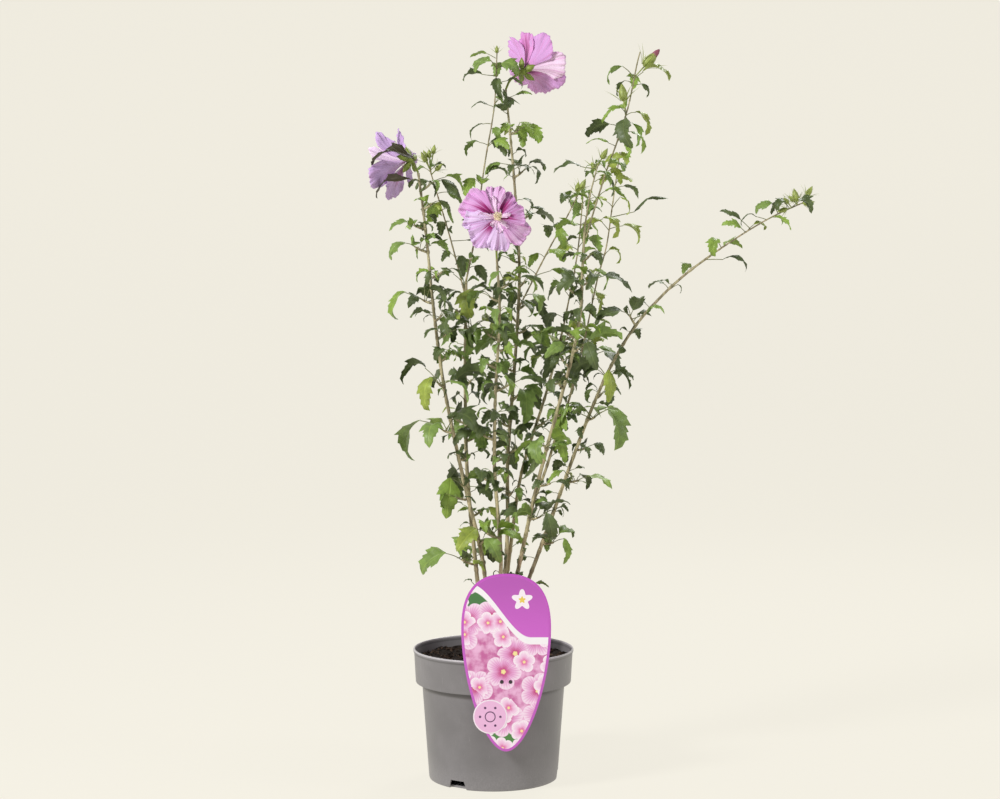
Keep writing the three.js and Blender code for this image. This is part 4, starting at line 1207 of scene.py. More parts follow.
def soil_finish(name, colour, factor):
    """Crumbly dark soil, lighter where it has dried"""
    finish = Finish(name, 0.95, Specular_IOR_Level=0.2)
    grains = finish.noise(finish.place(), 260, 8, 0.65)
    dry = finish.noise(finish.place(), 30, 3)
    base = finish.mix(grains, scaled(colour, 0.35 * factor), scaled(colour, 1.7 * factor))
    finish.paint(finish.fade((dry, 0.55, 0.8, 0, 0.5), base, scaled(colour, 2.4 * factor)))
    finish.bump(grains, 0.0016)
    return finish.material


BIG_ROSETTES = 21
SMALL_ROSETTES = 34
BADGE_PLACE = ((LABEL_X + 22) * MM, (LABEL_TOP - 36) * MM, 0)


def rosettes(finish, flat, count, randomness):
    """Five-petalled rosettes over a plane: share of the way to the petals' edge, angle, chance"""
    cells = {"Vector": flat, "Scale": count, "Randomness": randomness}
    centre = finish.node("ShaderNodeTexVoronoi", 2, cells, voronoi_dimensions="2D")
    chance = finish.split(finish.node("ShaderNodeTexVoronoi", 1, cells, voronoi_dimensions="2D"))[0]
    across, up, far = finish.away(flat, centre)
    angle = finish.math("MULTIPLY_ADD", chance, 6, finish.math("ARCTAN2", up, across))
    wave = finish.math("COSINE", finish.times(angle, 2.5))
    lobes = finish.math("POWER", finish.math("ABSOLUTE", wave), 0.5)
    edge = finish.math("MULTIPLY_ADD", lobes, 0.17, 0.36)
    part = finish.math("DIVIDE", finish.times(far, count), edge)
    return part, angle, chance


def rosette_colour(finish, part, angle, heart, middle, rim):
    """A rosette's colour: streaks run from its heart into its petals, a pale rim, a yellow eye"""
    stripes = finish.times(finish.math("SINE", finish.times(angle, 35)), 0.1)
    inside = finish.plus(part, stripes)
    colour = finish.fade((inside, 0.12, 0.55), heart, middle)
    colour = finish.fade((inside, 0.5, 1), colour, rim)
    return finish.fade((part, 0.1, 0.17, 1, 0), colour, shade(250, 232, 160))


def label_picture(colour):
    """Glossy printed card: a violet field with a white flower, a white band, and pink rosettes"""
    finish = Finish("label_picture", 0.22, Coat_Weight=0.5, Coat_Roughness=0.12)
    x, _, z = finish.split(finish.place())
    card_x = finish.math("DIVIDE", finish.minus(x, LABEL_X * MM), LABEL_HALF_WIDTH * MM)
    card_z = finish.math("DIVIDE", finish.minus(z, (LABEL_TOP - LABEL_HEIGHT) * MM),
                         LABEL_HEIGHT * MM)
    flat = finish.node("ShaderNodeCombineXYZ", inputs={0: x, 1: z})
    low = finish.math("MULTIPLY_ADD", card_x, 0.1, card_z)
    mottle = finish.span(finish.noise(flat, 60, 4), 0.35, 0.65)
    pinks = finish.mix(mottle, shade(200, 96, 160), shade(240, 184, 222))
    ground = finish.fade((low, 0.12, 0.16), shade(70, 130, 60), pinks)
    ground = finish.fade((card_z, 0.76, 0.8), ground, shade(64, 120, 62))
    part, angle, _ = rosettes(finish, flat, BIG_ROSETTES, 0.7)
    bloom = rosette_colour(finish, part, angle, shade(196, 44, 124), shade(232, 160, 212),
                           shade(250, 222, 242))
    picture = finish.fade((part, 0.98, 1.01, 1, 0), ground, bloom)
    part, angle, chance = rosettes(finish, flat, SMALL_ROSETTES, 0.8)
    bloom = rosette_colour(finish, part, angle, shade(226, 96, 164), shade(244, 196, 230),
                           shade(254, 240, 250))
    shown = finish.times(finish.span(part, 0.97, 1.02, 1, 0), finish.span(chance, 0.4, 0.41))
    picture = finish.mix(shown, picture, bloom)
    over_band = finish.minus(card_z, finish.span(card_x, -0.8, 0.55, 0.9, 0.6))
    field = finish.fade((card_z, 0.6, 1), scaled(colour, 1.1), scaled(colour, 0.85))
    painted = finish.fade((over_band, 0.0, 0.005), picture, shade(250, 246, 250))
    across, up, far = finish.away(flat, BADGE_PLACE)
    lobes = finish.math("COSINE", finish.times(finish.math("ARCTAN2", across, up), 5))
    badge_part = finish.math("DIVIDE", far, finish.math("MULTIPLY_ADD", lobes, 0.0032, 0.0118))
    field = finish.fade((badge_part, 0.95, 1.02, 1, 0), field, shade(252, 240, 250))
    field = finish.fade((badge_part, 0.3, 0.36, 1, 0), field, shade(236, 206, 84))
    painted = finish.fade((over_band, 0.04, 0.045), painted, field)
    finish.paint(painted)
    finish.bump(finish.noise(finish.place(), 500, 2), 0.00005)
    return finish.material


def card_finish(name, colour):
    """Plain printed card with a glossy coat"""
    finish = Finish(name, 0.25, Coat_Weight=0.4, Coat_Roughness=0.15)
    fibres = finish.noise(finish.place(), 700, 3)
    finish.paint(finish.mix(fibres, scaled(colour, 0.94), scaled(colour, 1.05)))
    finish.bump(fibres, 0.00005)
    return finish.material


# ---- Pot, soil and label ----

POT_SIDES = 144
NOTCH_DEPTH = 10
NOTCH_OUTSIDE = 2


def make_pot():
    """The pot's turned shell with its collar, rim bead, foot ring and drain notches"""
    collar_foot = POT_HEIGHT - COLLAR_HEIGHT
    # From under the foot up the outside, over the rim and down the inside: each row is a named
    # radius and height, and the steps out and up from them
    rings = [
        (FOOT_RADIUS, 0, (-10, 0.9), (-8, 0), (-1.6, 0), (-0.5, 0.5), (0, 1.6), (0.4, 5)),
        (SHOULDER_RADIUS, collar_foot, (-0.3, -3), (0.3, -1.2), (1.6, -0.2)),
        (COLLAR_FOOT_RADIUS, collar_foot, (-1.4, 0), (-0.4, 0.5), (0, 1.6)),
        (RIM_RADIUS, POT_HEIGHT, (-1.3, -6.5), (-1, -5.6), (-0.3, -4.8), (0, -3.6), (0, -1.2),
         (-0.5, -0.3), (-1.2, 0)),
        (RIM_RADIUS - WALL, POT_HEIGHT, (0, -0.4), (-0.4, -2)),
        (COLLAR_FOOT_RADIUS - WALL, collar_foot + WALL, (0, 1)),
        (SHOULDER_RADIUS - WALL, collar_foot + WALL, (0, -1)),
        (FOOT_RADIUS - WALL, FLOOR, (0, 1), (-1, 0)),
    ]
    profile = [(radius + out, height + up) for radius, height, *steps in rings for out, up in steps]
    pot = turned("pot_shell", profile, POT_SIDES)
    for heading in NOTCH_HEADINGS:
        cut_notch(pot, heading)
    make_active(pot)
    bpy.ops.object.shade_smooth_by_angle(angle=CREASE)
    pot.data.materials.append(pot_finish(colours().pot))
    place(pot, "pot_plastic", "pot")


def cut_notch(pot, heading):
    """Cuts one drain notch, narrower at its top, through the foot of the wall"""
    deselect()
    bpy.ops.mesh.primitive_cube_add(size=1, location=(0, 0, 0))
    cutter = bpy.context.object
    turn = math.radians(heading)
    out = Vector((math.cos(turn), math.sin(turn), 0))
    beside = Vector((-out.y, out.x, 0))
    for vertex in cutter.data.vertices:
        x, y, z = vertex.co * 2
        half = (NOTCH_TOP_WIDTH if z > 0 else NOTCH_WIDTH) / 2
        height = NOTCH_HEIGHT if z > 0 else -1
        far = FOOT_RADIUS + NOTCH_OUTSIDE + NOTCH_DEPTH * x
        vertex.co = (out * far + beside * (half * y) + Vector((0, 0, height))) * MM
    modify(pot, "notch", "BOOLEAN", object=cutter, operation="DIFFERENCE")
    apply_modifiers(pot)
    bpy.data.objects.remove(cutter)


SOIL_RINGS = 58
SOIL_TURNS = 190
SOIL_RADIUS = RIM_RADIUS - WALL - 3.6
SOIL_FOOT_RADIUS = COLLAR_FOOT_RADIUS - WALL - 2
SOIL_FOOT = POT_HEIGHT - COLLAR_HEIGHT + WALL + 3
CRUMB_SEED = 7
CRUMB_SHAPE = np.array([[1, 0, 0], [-1, 0, 0], [0, 1, 0], [0, -1, 0], [0, 0, 1], [0, 0, -1]], float)
CRUMB_FACES = [(0, 2, 4), (2, 1, 4), (1, 3, 4), (3, 0, 4), (2, 0, 5), (1, 2, 5), (3, 1, 5), (0, 3, 5)]


def soil_height(x, y):
    """The lumpy soil surface: level in the middle, raised a little at the edge"""
    far = math.hypot(x, y) / RIM_RADIUS
    lumps = 2.2 * noise.noise(Vector((x / 17, y / 17, 3)))
    lumps += 1.3 * noise.noise(Vector((x / 6, y / 6, 8)))
    lumps += 0.7 * noise.noise(Vector((x / 2.4, y / 2.4, 14)))
    return SOIL_LEVEL + 1.5 + SOIL_EDGE_RISE * far ** 4 + 1.4 * lumps


def soil_ring(radius, height=None):
    """Points round the pot's middle, on the soil's surface or at a height"""
    turns = np.arange(SOIL_TURNS) * 2 * math.pi / SOIL_TURNS
    spots = [(radius * math.cos(turn), radius * math.sin(turn)) for turn in turns]
    return [(x, y, soil_height(x, y) if height is None else height) for x, y in spots]


def make_soil_bed():
    """A closed lumpy bed of soil in the pot"""
    bed = Heap("soil_bed")
    points = [(0, 0, soil_height(0, 0))]
    for i in range(1, SOIL_RINGS + 1):
        points += soil_ring(SOIL_RADIUS * i / SOIL_RINGS)
    points += soil_ring(SOIL_FOOT_RADIUS, SOIL_FOOT)
    points.append((0, 0, SOIL_FOOT))
    faces = [(0, 1 + k, 1 + (k + 1) % SOIL_TURNS) for k in range(SOIL_TURNS)]
    for i in range(SOIL_RINGS):
        low, high = 1 + i * SOIL_TURNS, 1 + (i + 1) * SOIL_TURNS
        for k in range(SOIL_TURNS):
            after = (k + 1) % SOIL_TURNS
            faces.append((low + k, high + k, high + after, low + after))
    last, bottom = 1 + SOIL_RINGS * SOIL_TURNS, len(points) - 1
    faces += [(bottom, last + (k + 1) % SOIL_TURNS, last + k) for k in range(SOIL_TURNS)]
    bed.add(points, faces)
    place(bed.piece([soil_finish("soil", colours().soil, 0.42)]), "soil", "potting_soil")


def make_crumbs():
    """Loose crumbs and bark bits on the soil, most of them small"""
    crumbs = Heap("soil_crumbs")
    draws = np.random.RandomState(CRUMB_SEED)
    for _ in range(sizes().crumb_count):
        radius = (SOIL_RADIUS - 3) * math.sqrt(draws.rand())
        turn = 2 * math.pi * draws.rand()
        x, y = radius * math.cos(turn), radius * math.sin(turn)
        size = 0.9 + 4.2 * draws.rand() ** 3
        shape = CRUMB_SHAPE * size * (0.7 + 0.6 * draws.rand(6, 1))
        shape *= [1 + 1.6 * draws.rand() ** 2, 0.8, 0.6]
        spin = Vector(draws.rand(3) - 0.5).to_track_quat("Z", "Y").to_matrix()
        shape = shape @ np.array(spin).T
        tint = int(3 * draws.rand() ** 1.3)
        crumbs.add(shape + [x, y, soil_height(x, y) + 0.25 * size], CRUMB_FACES, tint)
    finishes = [soil_finish("soil_crumb_dark", colours().soil, 0.45),
                soil_finish("soil_crumb_brown", colours().soil, 1.1),
                soil_finish("soil_crumb_bark", shade(76, 60, 48), 1)]
    place(crumbs.piece(finishes, smooth=False), "soil")


LABEL_FRONT_Y = LABEL_BACK_Y - LABEL_THICKNESS
LABEL_BORDER = 3.6
LABEL_CIRCLE_SIDES = 64
LABEL_RING_RADIUS = 7.5
LABEL_DOTS = 6
LABEL_DOTS_OUT = 14
LABEL_DOT_RADIUS = 1.7
LABEL_HOLES_X = (-6, 6)
LABEL_HOLES_Z = 158
LABEL_HOLE_RADIUS = 2.7
FACES_FRONT = -0.9
CARD_BEVEL = 0.3


def bezier(four, steps):
    """Points along a cubic curve, without its last point"""
    a, b, c, d = np.array(four, float)
    t = (np.arange(steps) / steps)[:, None]
    return a * (1 - t) ** 3 + 3 * b * t * (1 - t) ** 2 + 3 * c * t * t * (1 - t) + d * t ** 3


def label_outline():
    """The egg-shaped outline of the card, from its top round to the right, in x and z"""
    w, s, h = LABEL_HALF_WIDTH, LABEL_SHOULDER, LABEL_HEIGHT
    upper = [(0, 0), (w * 0.74, 0), (w, -s * 0.4), (w, -s)]
    lower = [(w, -s), (w, -s * 2), (w * 0.48, -h), (0, -h)]
    half = np.vstack([bezier(curve, 24) for curve in (upper, lower)])
    left = np.column_stack([-half[1:, 0], half[1:, 1]])[::-1]
    return np.vstack([half, [(0, -h)], left]) + [LABEL_X, LABEL_TOP]


def card_piece(name, outline, front_y, thickness, border, finishes, *nodes):
    """A card cut to an outline: an inset border, rounded edges and a real thickness"""
    deselect()
    bpy.ops.mesh.primitive_circle_add(vertices=len(outline), radius=1, fill_type="NGON")
    card = bpy.context.object
    card.name = name
    for vertex, (x, z) in zip(card.data.vertices, outline):
        vertex.co = Vector((x, front_y, z)) * MM
    for finish in finishes:
        card.data.materials.append(finish)
    set_mode("EDIT")
    bpy.ops.mesh.select_all(action="SELECT")
    bpy.ops.mesh.extrude_region_move(TRANSFORM_OT_translate={"value": (0, thickness * MM, 0)})
    bpy.ops.mesh.select_all(action="SELECT")
    bpy.ops.mesh.normals_make_consistent(inside=False)
    bpy.ops.mesh.select_mode(type="FACE")
    bpy.ops.mesh.select_all(action="DESELECT")
    set_mode("OBJECT")
    for face in card.data.polygons:
        face.select = face.normal.y < FACES_FRONT
    set_mode("EDIT")
    bpy.ops.mesh.inset(thickness=border * MM)
    set_mode("OBJECT")
    fronts = [face for face in card.data.polygons if face.normal.y < FACES_FRONT]
    inside = max(fronts, key=lambda face: face.area)
    for face in card.data.polygons:
        face.material_index = int(face.index != inside.index)
    modify(card, "edge", "BEVEL", width=CARD_BEVEL * MM, segments=2, limit_method="ANGLE")
    apply_modifiers(card)
    bpy.ops.object.shade_smooth_by_angle(angle=CREASE)
    place(card, "label_card", *nodes)


def make_label():
    """The plant label: an egg-shaped card, two dark discs of painted shade where its two holes would be, and
    a round tab at its lower left
    """
    card_piece("label_card", label_outline(), LABEL_FRONT_Y, LABEL_THICKNESS, LABEL_BORDER,
               [label_picture(colours().label), card_finish("label_border", colours().label)],
               "plant_label")
    turns = np.linspace(0, 2 * math.pi, LABEL_CIRCLE_SIDES, endpoint=False)
    circle = np.column_stack([np.cos(turns), np.sin(turns)])
    tab = np.array([LABEL_X + LABEL_DISC_X, LABEL_DISC_Z])
    pink, ink = shade(240, 186, 226), shade(92, 50, 96)
    card_piece("label_tab", circle * LABEL_DISC_RADIUS + tab, LABEL_FRONT_Y - 0.4,
               LABEL_THICKNESS + 0.2, 1.6,
               [card_finish("label_tab_pink", pink), card_finish("label_tab_edge", shade(250, 236, 246))])
    front = LABEL_FRONT_Y - 0.6
    card_piece("label_ring", circle * LABEL_RING_RADIUS + tab, front, 0.4, 1.4,
               [card_finish("label_ring_inside", pink), card_finish("label_ring_edge", ink)])
    for i in range(LABEL_DOTS):
        turn = 2 * math.pi * i / LABEL_DOTS
        spot = tab + [LABEL_DOTS_OUT * math.cos(turn), LABEL_DOTS_OUT * math.sin(turn)]
        card_piece(f"label_dot_{i + 1}", circle * LABEL_DOT_RADIUS + spot, front, 0.4, 0.5,
                   [card_finish(f"label_dot_ink_{i + 1}", ink)] * 2)
    for i, x in enumerate(LABEL_HOLES_X):
        # Painted shade: no hole is cut; each hole is a near-black disc on the card's front
        dark = card_finish(f"label_hole_dark_{i + 1}", shade(34, 22, 32))
        hole = circle * LABEL_HOLE_RADIUS + [LABEL_X + x, LABEL_HOLES_Z]
        card_piece(f"label_hole_{i + 1}", hole, front + 0.3, 0.5, 0.5, [dark, dark])


def make_tongue():
    """The label's white tongue, over the pot's rim and down inside it"""
    over = POT_HEIGHT + GAP + 0.2
    strip = Heap("label_tongue")
    path = [(LABEL_BACK_Y - 0.6, over + 0.8), (TONGUE_Y + 0.2, over + 0.8), (TONGUE_Y + 1, over + 0.2),
            (TONGUE_Y + 1.2, SOIL_LEVEL + 2)]
    points = [(x, y, z) for y, z in path for x in (-TONGUE_WIDTH / 2, TONGUE_WIDTH / 2)]
    strip.add(points, grid_faces(4, 2))
    tongue = strip.piece([card_finish("label_tongue_white", shade(238, 236, 238))])
    modify(tongue, "thickness", "SOLIDIFY", thickness=0.9 * MM, offset=0)
    apply_modifiers(tongue)
    place(tongue, "label_card")


# ---- Wood ----

BARK_SIDES = 14
BARK_STEP = 2.2
BARK_SHARE = 0.93
NODE_STEP = 27
SCAR_DEPTH = 0.22
BARK_SEED = 11
TWIG_SEED = 23


def bark_tube(heap, limb, draws, node_heights):
    """A cane with its bark's relief: swollen nodes with leaf scars, and long shallow ridges"""
    spans = np.linalg.norm(np.diff(limb.points, axis=0), axis=1)
    fine, radii = limb.finer(max(8, int(spans.sum() / BARK_STEP)))
    for height in node_heights:
        near = np.exp(-((fine[:, 2] - height) / 2.6) ** 2)
        radii = radii + near * sizes().node_relief / MM
        scar = np.exp(-((fine[:, 2] - height + 4.4) / 1.1) ** 2)
        radii = radii - scar * SCAR_DEPTH
    points, faces, marks = rod(fine, radii * BARK_SHARE, BARK_SIDES)
    centre = np.repeat(fine, BARK_SIDES, axis=0)
    phase = PHASES * draws.rand()
    turn = marks[:, 0] * MARK_TURN
    drift = 0.02 * centre[:, 2]
    ridges = 0.045 * np.sin(5 * turn + phase + drift) + 0.03 * np.sin(9 * turn - 1.7 * drift)
    lumps = np.array([noise.noise(Vector(point) / 5.5) for point in points]) * 0.06
    points = centre + (points - centre) * (1 + ridges + lumps)[:, None]
    heap.add(points, faces, 0, marks)


def make_canes(plant):
    """One piece of bark for each cane and the bough"""
    bark = stem_finish("bark", colours().bark_low, colours().bark_high, 0.3, 0.85)
    draws = np.random.RandomState(BARK_SEED)
    for name, limb in plant.limbs.items():
        heap = Heap(f"{cane_name(name)}_bark")
        tufts = [row[1] for row in TUFTS if row[0] == name]
        foot, tip = limb.points[0][2], limb.points[-1][2]
        between = np.arange(foot + 20, tip, NODE_STEP)
        between = between + 6 * draws.rand(len(between))
        bark_tube(heap, limb, draws, tufts + list(between))
        place(heap.piece([bark]), "bark", cane_name(name))


def make_crown(plant):
    """The woody crown on the soil, with a knobbly stub under each cane, melted into one"""
    wood = Heap("crown_wood")
    foot = SOIL_LEVEL - 1
    heights = [foot, foot + 4, foot + 8, CROWN_TOP - 2, CROWN_TOP + 1.5]
    radii = [CROWN_RADIUS - less for less in (1, 5, 9, 13, 19)]
    wood.tube([(0, 0, z) for z in heights], radii, 28)
    for name in CANES:
        limb = plant.limbs[name]
        top = limb.points[0] - limb.ways[0] * GAP
        bottom = limb.points[0] - limb.ways[0] * (STUB_LENGTH + 4)
        line = [bottom + (top - bottom) * t for t in (0, 0.3, 0.5, 0.75, 1)]
        wood.tube(line, [limb.radii[0] * share for share in (1.9, 1.5, 1.3, 1.15, 0.98)], 14)
    low = colours().bark_low
    crown = wood.piece([stem_finish("crown_bark", scaled(low, 0.6), low, 0.16, 0.2)])
    modify(crown, "melt", "REMESH", mode="VOXEL", voxel_size=1.1 * MM)
    modify(crown, "soften", "SMOOTH", iterations=3)
    lumps = bpy.data.textures.new("crown_lumps", "CLOUDS")
    lumps.noise_scale = 6 * MM
    modify(crown, "relief", "DISPLACE", texture=lumps, strength=1.8 * MM)
    apply_modifiers(crown)
    bpy.ops.object.shade_smooth()
    place(crown, "bark", "root_crown")


def make_twigs(plant):
    """Spurs, shoot stems and leaf stalks, each kind in one piece"""
    spurs = Heap("spur_wood")
    for spur in plant.spurs:
        start, end = spur.points
        line = smooth_points([start, (start + end) / 2 - UP * 0.8, end], 8)
        spurs.tube(line, np.linspace(1.75, 1.2, 9) + 0.22 * (np.arange(9) % 2), 8)
    bark = stem_finish("spur_bark", colours().bark_low, colours().bark_high, 0.3, 0.85)
    place(spurs.piece([bark]), "bark")

    shoots = Heap("shoot_stems")
    for line in plant.lines.values():
        fine, radii = line.finer(len(line.points) * 8)
        bulge = 0.25 * (np.sin(np.arange(len(fine)) * 1.1) > 0.86)
        shoots.tube(fine, radii * 0.8 + bulge, 9)
    young = stem_finish("young_bark", scaled(colours().bark_low, 0.8), colours().bark_high, 0.65, 0.95)
    place(shoots.piece([young]), "young_leaves")

    stalks = Heap("leaf_stalks")
    draws = np.random.RandomState(TWIG_SEED)
    for leaf in plant.leaves:
        middle = (leaf.root + leaf.base) / 2 + UP * 0.05 * leaf.length * (draws.rand() - 0.3)
        line = smooth_points([leaf.root, middle, leaf.base + leaf.way * 1.2], 5)
        radius = 0.45 + 0.006 * leaf.length
        stalks.tube(line, np.linspace(radius, radius * 0.7, 6), 5)
    place(stalks.piece([plain_green("leaf_stalk", colours().petiole)]), "leaves")


# ---- Leaf blades ----

# Rows of a blade: how far along the midrib is, how far along the edge is, and the half width of a
# lobed leaf and of an oval one, all as shares of the length
BLADE_ROWS = np.array([
    (0.00, 0.00, 0.02, 0.02), (0.07, 0.06, 0.11, 0.12), (0.14, 0.16, 0.23, 0.25),
    (0.20, 0.19, 0.21, 0.27), (0.26, 0.31, 0.36, 0.34), (0.32, 0.33, 0.33, 0.31),
    (0.39, 0.48, 0.50, 0.37), (0.47, 0.46, 0.23, 0.29), (0.54, 0.59, 0.26, 0.30),
    (0.61, 0.60, 0.19, 0.23), (0.68, 0.73, 0.22, 0.24), (0.76, 0.75, 0.14, 0.17),
    (0.84, 0.87, 0.15, 0.15), (0.93, 0.94, 0.07, 0.08),
])
INNER_COLUMN = 0.55
COLUMNS = np.array([-1, -INNER_COLUMN, 0, INNER_COLUMN, 1])
ARC_STEPS = 32
ROLLED_SHARE = 0.14
LEAF_SEED = 5
SHOOT_TINTS = (0.44, 0.84, 0.97)
OTHER_TINTS = (0.62, 0.93, 0.985)


def blade_faces():
    """The faces of a blade: its rows, and a fan to its tip"""
    rows, columns = len(BLADE_ROWS), len(COLUMNS)
    last = (rows - 1) * columns
    tip = rows * columns
    return grid_faces(rows, columns) + [(last + k, last + k + 1, tip) for k in range(columns - 1)]


def blade_points(leaf, draws):
    """The ruffled, folded and arched blade of a leaf, row by row, and its marks"""
    lobed = draws.rand() ** 0.6
    sway = 0.24 * (draws.rand() - 0.5)
    droop = 0.2 + 0.9 * draws.rand()
    slim = 0.72 + 0.4 * draws.rand()
    twist = 1.5 * (draws.rand() - 0.5)
    hook = 0.1 + 1.2 * draws.rand() ** 1.4
    arch = 0.35 + 0.9 * draws.rand()
    if draws.rand() < ROLLED_SHARE:
        slim, twist, droop = 0.4, 2 * twist, 1.3
    if leaf.slim:
        slim, twist, arch, lobed = leaf.slim, 0.6 * twist, 0.5 * arch, 0.5 * lobed
    ruffle = sizes().leaf_ruffle * leaf.length
    phases = PHASES * draws.rand(2)
    waves = 9 + 5 * draws.rand()
    rows = np.vstack([BLADE_ROWS, (1, 1, 0, 0)])
    share = np.abs(COLUMNS)[None]
    s = rows[:, :1] + (rows[:, 1:2] - rows[:, :1]) * share
    half = (rows[:, 2] * lobed + rows[:, 3] * (1 - lobed))[:, None]
    reach = half * leaf.length * leaf.width * slim
    inner = np.minimum(share, INNER_COLUMN)
    outer = share - inner
    bent = leaf.fold - droop
    aside = reach * (inner * math.cos(leaf.fold) + outer * math.cos(bent)) * np.sign(COLUMNS)
    lift = reach * (inner * math.sin(leaf.fold) + outer * math.sin(bent))
    phase = np.where(COLUMNS < 0, phases[0], phases[1])[None]
    lift = lift + ruffle * share ** 2 * np.sin(waves * s + phase) * np.minimum(1, half / 0.2)
    arc = np.linspace(0, 1, ARC_STEPS + 1)
    turns = leaf.curl * arc + hook * arc ** 3 - arch * (1 - arc) ** 1.5
    turn = np.interp(s, arc, turns)
    along = np.interp(s, arc, np.append(0, np.cumsum(np.cos(turns[:-1])))) / ARC_STEPS
    down = np.interp(s, arc, np.append(0, np.cumsum(np.sin(turns[:-1])))) / ARC_STEPS
    bend = twist * s
    flat = aside * np.cos(bend) - lift * np.sin(bend) + sway * leaf.length * s * s
    raised = aside * np.sin(bend) + lift * np.cos(bend)
    normal = np.cos(turn)[..., None] * leaf.normal + np.sin(turn)[..., None] * leaf.way
    points = (leaf.base + leaf.length * (along[..., None] * leaf.way - down[..., None] * leaf.normal)
              + flat[..., None] * leaf.side + raised[..., None] * normal)
    marks = np.stack([0.5 + half * np.broadcast_to(COLUMNS, s.shape), s], axis=-1)
    count = len(BLADE_ROWS) * len(COLUMNS)
    points, marks = points.reshape(-1, 3), marks.reshape(-1, 2)
    middle = count + len(COLUMNS) // 2
    return np.vstack([points[:count], points[middle]]), np.vstack([marks[:count], marks[middle]])


def leaf_tint(leaf, spray_tints, draws):
    """A leaf's tint goes by its spray, now and then a step or two lighter, or a step darker"""
    if leaf.tint is not None:
        return leaf.tint
    if leaf.owner not in spray_tints:
        chance = draws.rand()
        limits = SHOOT_TINTS if leaf.kind == "shoot" else OTHER_TINTS
        spray_tints[leaf.owner] = sum(chance > limit for limit in limits)
    step = draws.rand()
    own = spray_tints[leaf.owner] + (step > 0.74) + (step > 0.94) - (step < 0.2)
    return int(np.clip(own, 0, 3))


def make_leaves(plant):
    """Leaf blades: those of tufts and canes in one piece, those of young shoots in another"""
    draws = np.random.RandomState(LEAF_SEED)
    tones = colours()
    finishes = [leaf_finish("leaf_dark", tones.leaf_dark), leaf_finish("leaf_green", tones.leaf_mid),
                leaf_finish("leaf_fresh", tones.leaf_fresh), leaf_finish("leaf_pale", tones.leaf_pale),
                leaf_finish("leaf_brown", tones.leaf_brown)]
    old, young = Heap("old_leaves"), Heap("young_leaves")
    faces = blade_faces()
    spray_tints = {}
    for leaf in plant.leaves:
        points, marks = blade_points(leaf, draws)
        heap = young if leaf.kind == "shoot" else old
        heap.add(points, faces, leaf_tint(leaf, spray_tints, draws), marks)
    tufts = [f"tuft_{row[0]}_{row[1]}" for row in TUFTS]
    place(old.piece(finishes), "leaves", *tufts)
    place(young.piece(finishes), "young_leaves", *[shoot["name"] for shoot in SHOOTS])


# ---- Buds and blooms ----

# Rows of a bud: place along it, and share of its radius
BUD_ROWS = [(0.0, 0.35), (0.06, 0.72), (0.2, 0.96), (0.38, 1.0), (0.58, 0.86), (0.78, 0.52),
            (0.92, 0.2), (1, 0.03)]
BUD_SIDES = 15
BUD_BRACTS = 7
BRACT_ROWS = ((0, 0.7), (0.3, 1), (0.65, 0.7), (1, 0.04))


def frame_of(way):
    """Two directions across a way"""
    helper = UP if abs(way[2]) < 0.9 else np.array([1.0, 0, 0])
    right = unit(np.cross(way, helper))
    return right, np.cross(right, way)


def bract(heap, start, way, out, length, width, curve=0.5):
    """A narrow pointed leaflet with a keel, curving outwards"""
    side = unit(np.cross(way, out))
    rows = []
    for t, share in BRACT_ROWS:
        middle = start + way * length * t + out * length * curve * t * t
        half = width * share / 2
        rows += [middle - side * half + out * half * 0.4, middle - out * half * 0.35,
                 middle + side * half + out * half * 0.4, middle + out * half * 0.5]
    heap.add(rows, tube_faces(len(BRACT_ROWS), 4))


def bud_shape(heap, start, way, length):
    """A bud in its closed calyx: five soft seams and a ring of narrow bracts round its foot"""
    right, above = frame_of(way)
    radius = length * BUD_WIDTH
    turns = np.arange(BUD_SIDES) * 2 * math.pi / BUD_SIDES
    ridge = 1 - 0.09 * np.cos(5 * turns)
    points = []
    for along, share in BUD_ROWS:
        ring = np.outer(np.cos(turns), right) - np.outer(np.sin(turns), above)
        points.append(start + way * length * along + ring * (radius * share * ridge)[:, None])
    heap.add(np.vstack(points), tube_faces(len(BUD_ROWS), BUD_SIDES, mirrored=True))
    for k in range(BUD_BRACTS):
        turn = 2 * math.pi * k / BUD_BRACTS
        out = right * math.cos(turn) + above * math.sin(turn)
        foot = start + out * radius * 0.7 + way * 0.4
        bract(heap, foot, unit(way + out * 0.7), out, length * 0.8, length * 0.08)


def make_buds(plant):
    """Closed green buds on their stalks, one of them with a pink tip"""
    heap = Heap("buds")
    for root, end, way, length, pink in plant.buds:
        heap.tube([root, (root + end) / 2, end], [0.9, 0.8, 1.1], 6)
        bud_shape(heap, end - way * 1.2, way, length)
        if pink:
            tip = end + way * length * 0.62
            heap.tube([tip, tip + way * length * 0.25, tip + way * length * 0.42],
                      [length * 0.16, length * 0.12, length * 0.03], 8, tint=1)
    tones = colours()
    green = plain_green("bud_green", blend(tones.calyx, shade(192, 200, 120), 0.3))
    pink = plain_green("bud_petal", blend(tones.petal_eye, tones.calyx, 0.25))
    place(heap.piece([green, pink]), "young_leaves")


# A bloom that is open wider than this, in degrees, faces front
FACING = 70
POINTED = 0.7
PALE_PETAL = 1
PETAL_ROWS = 20
PETAL_COLUMNS = 37
PETAL_THICKNESS = 0.35
CUP_RADII = [2.4, 4.6, 5.9, 5.2, 2.5]
CUP_DEPTHS = (0, 1.2, 4, 7.5, 9)
STIGMAS = 5
SEPALS = 5
CUP_BRACTS = 8


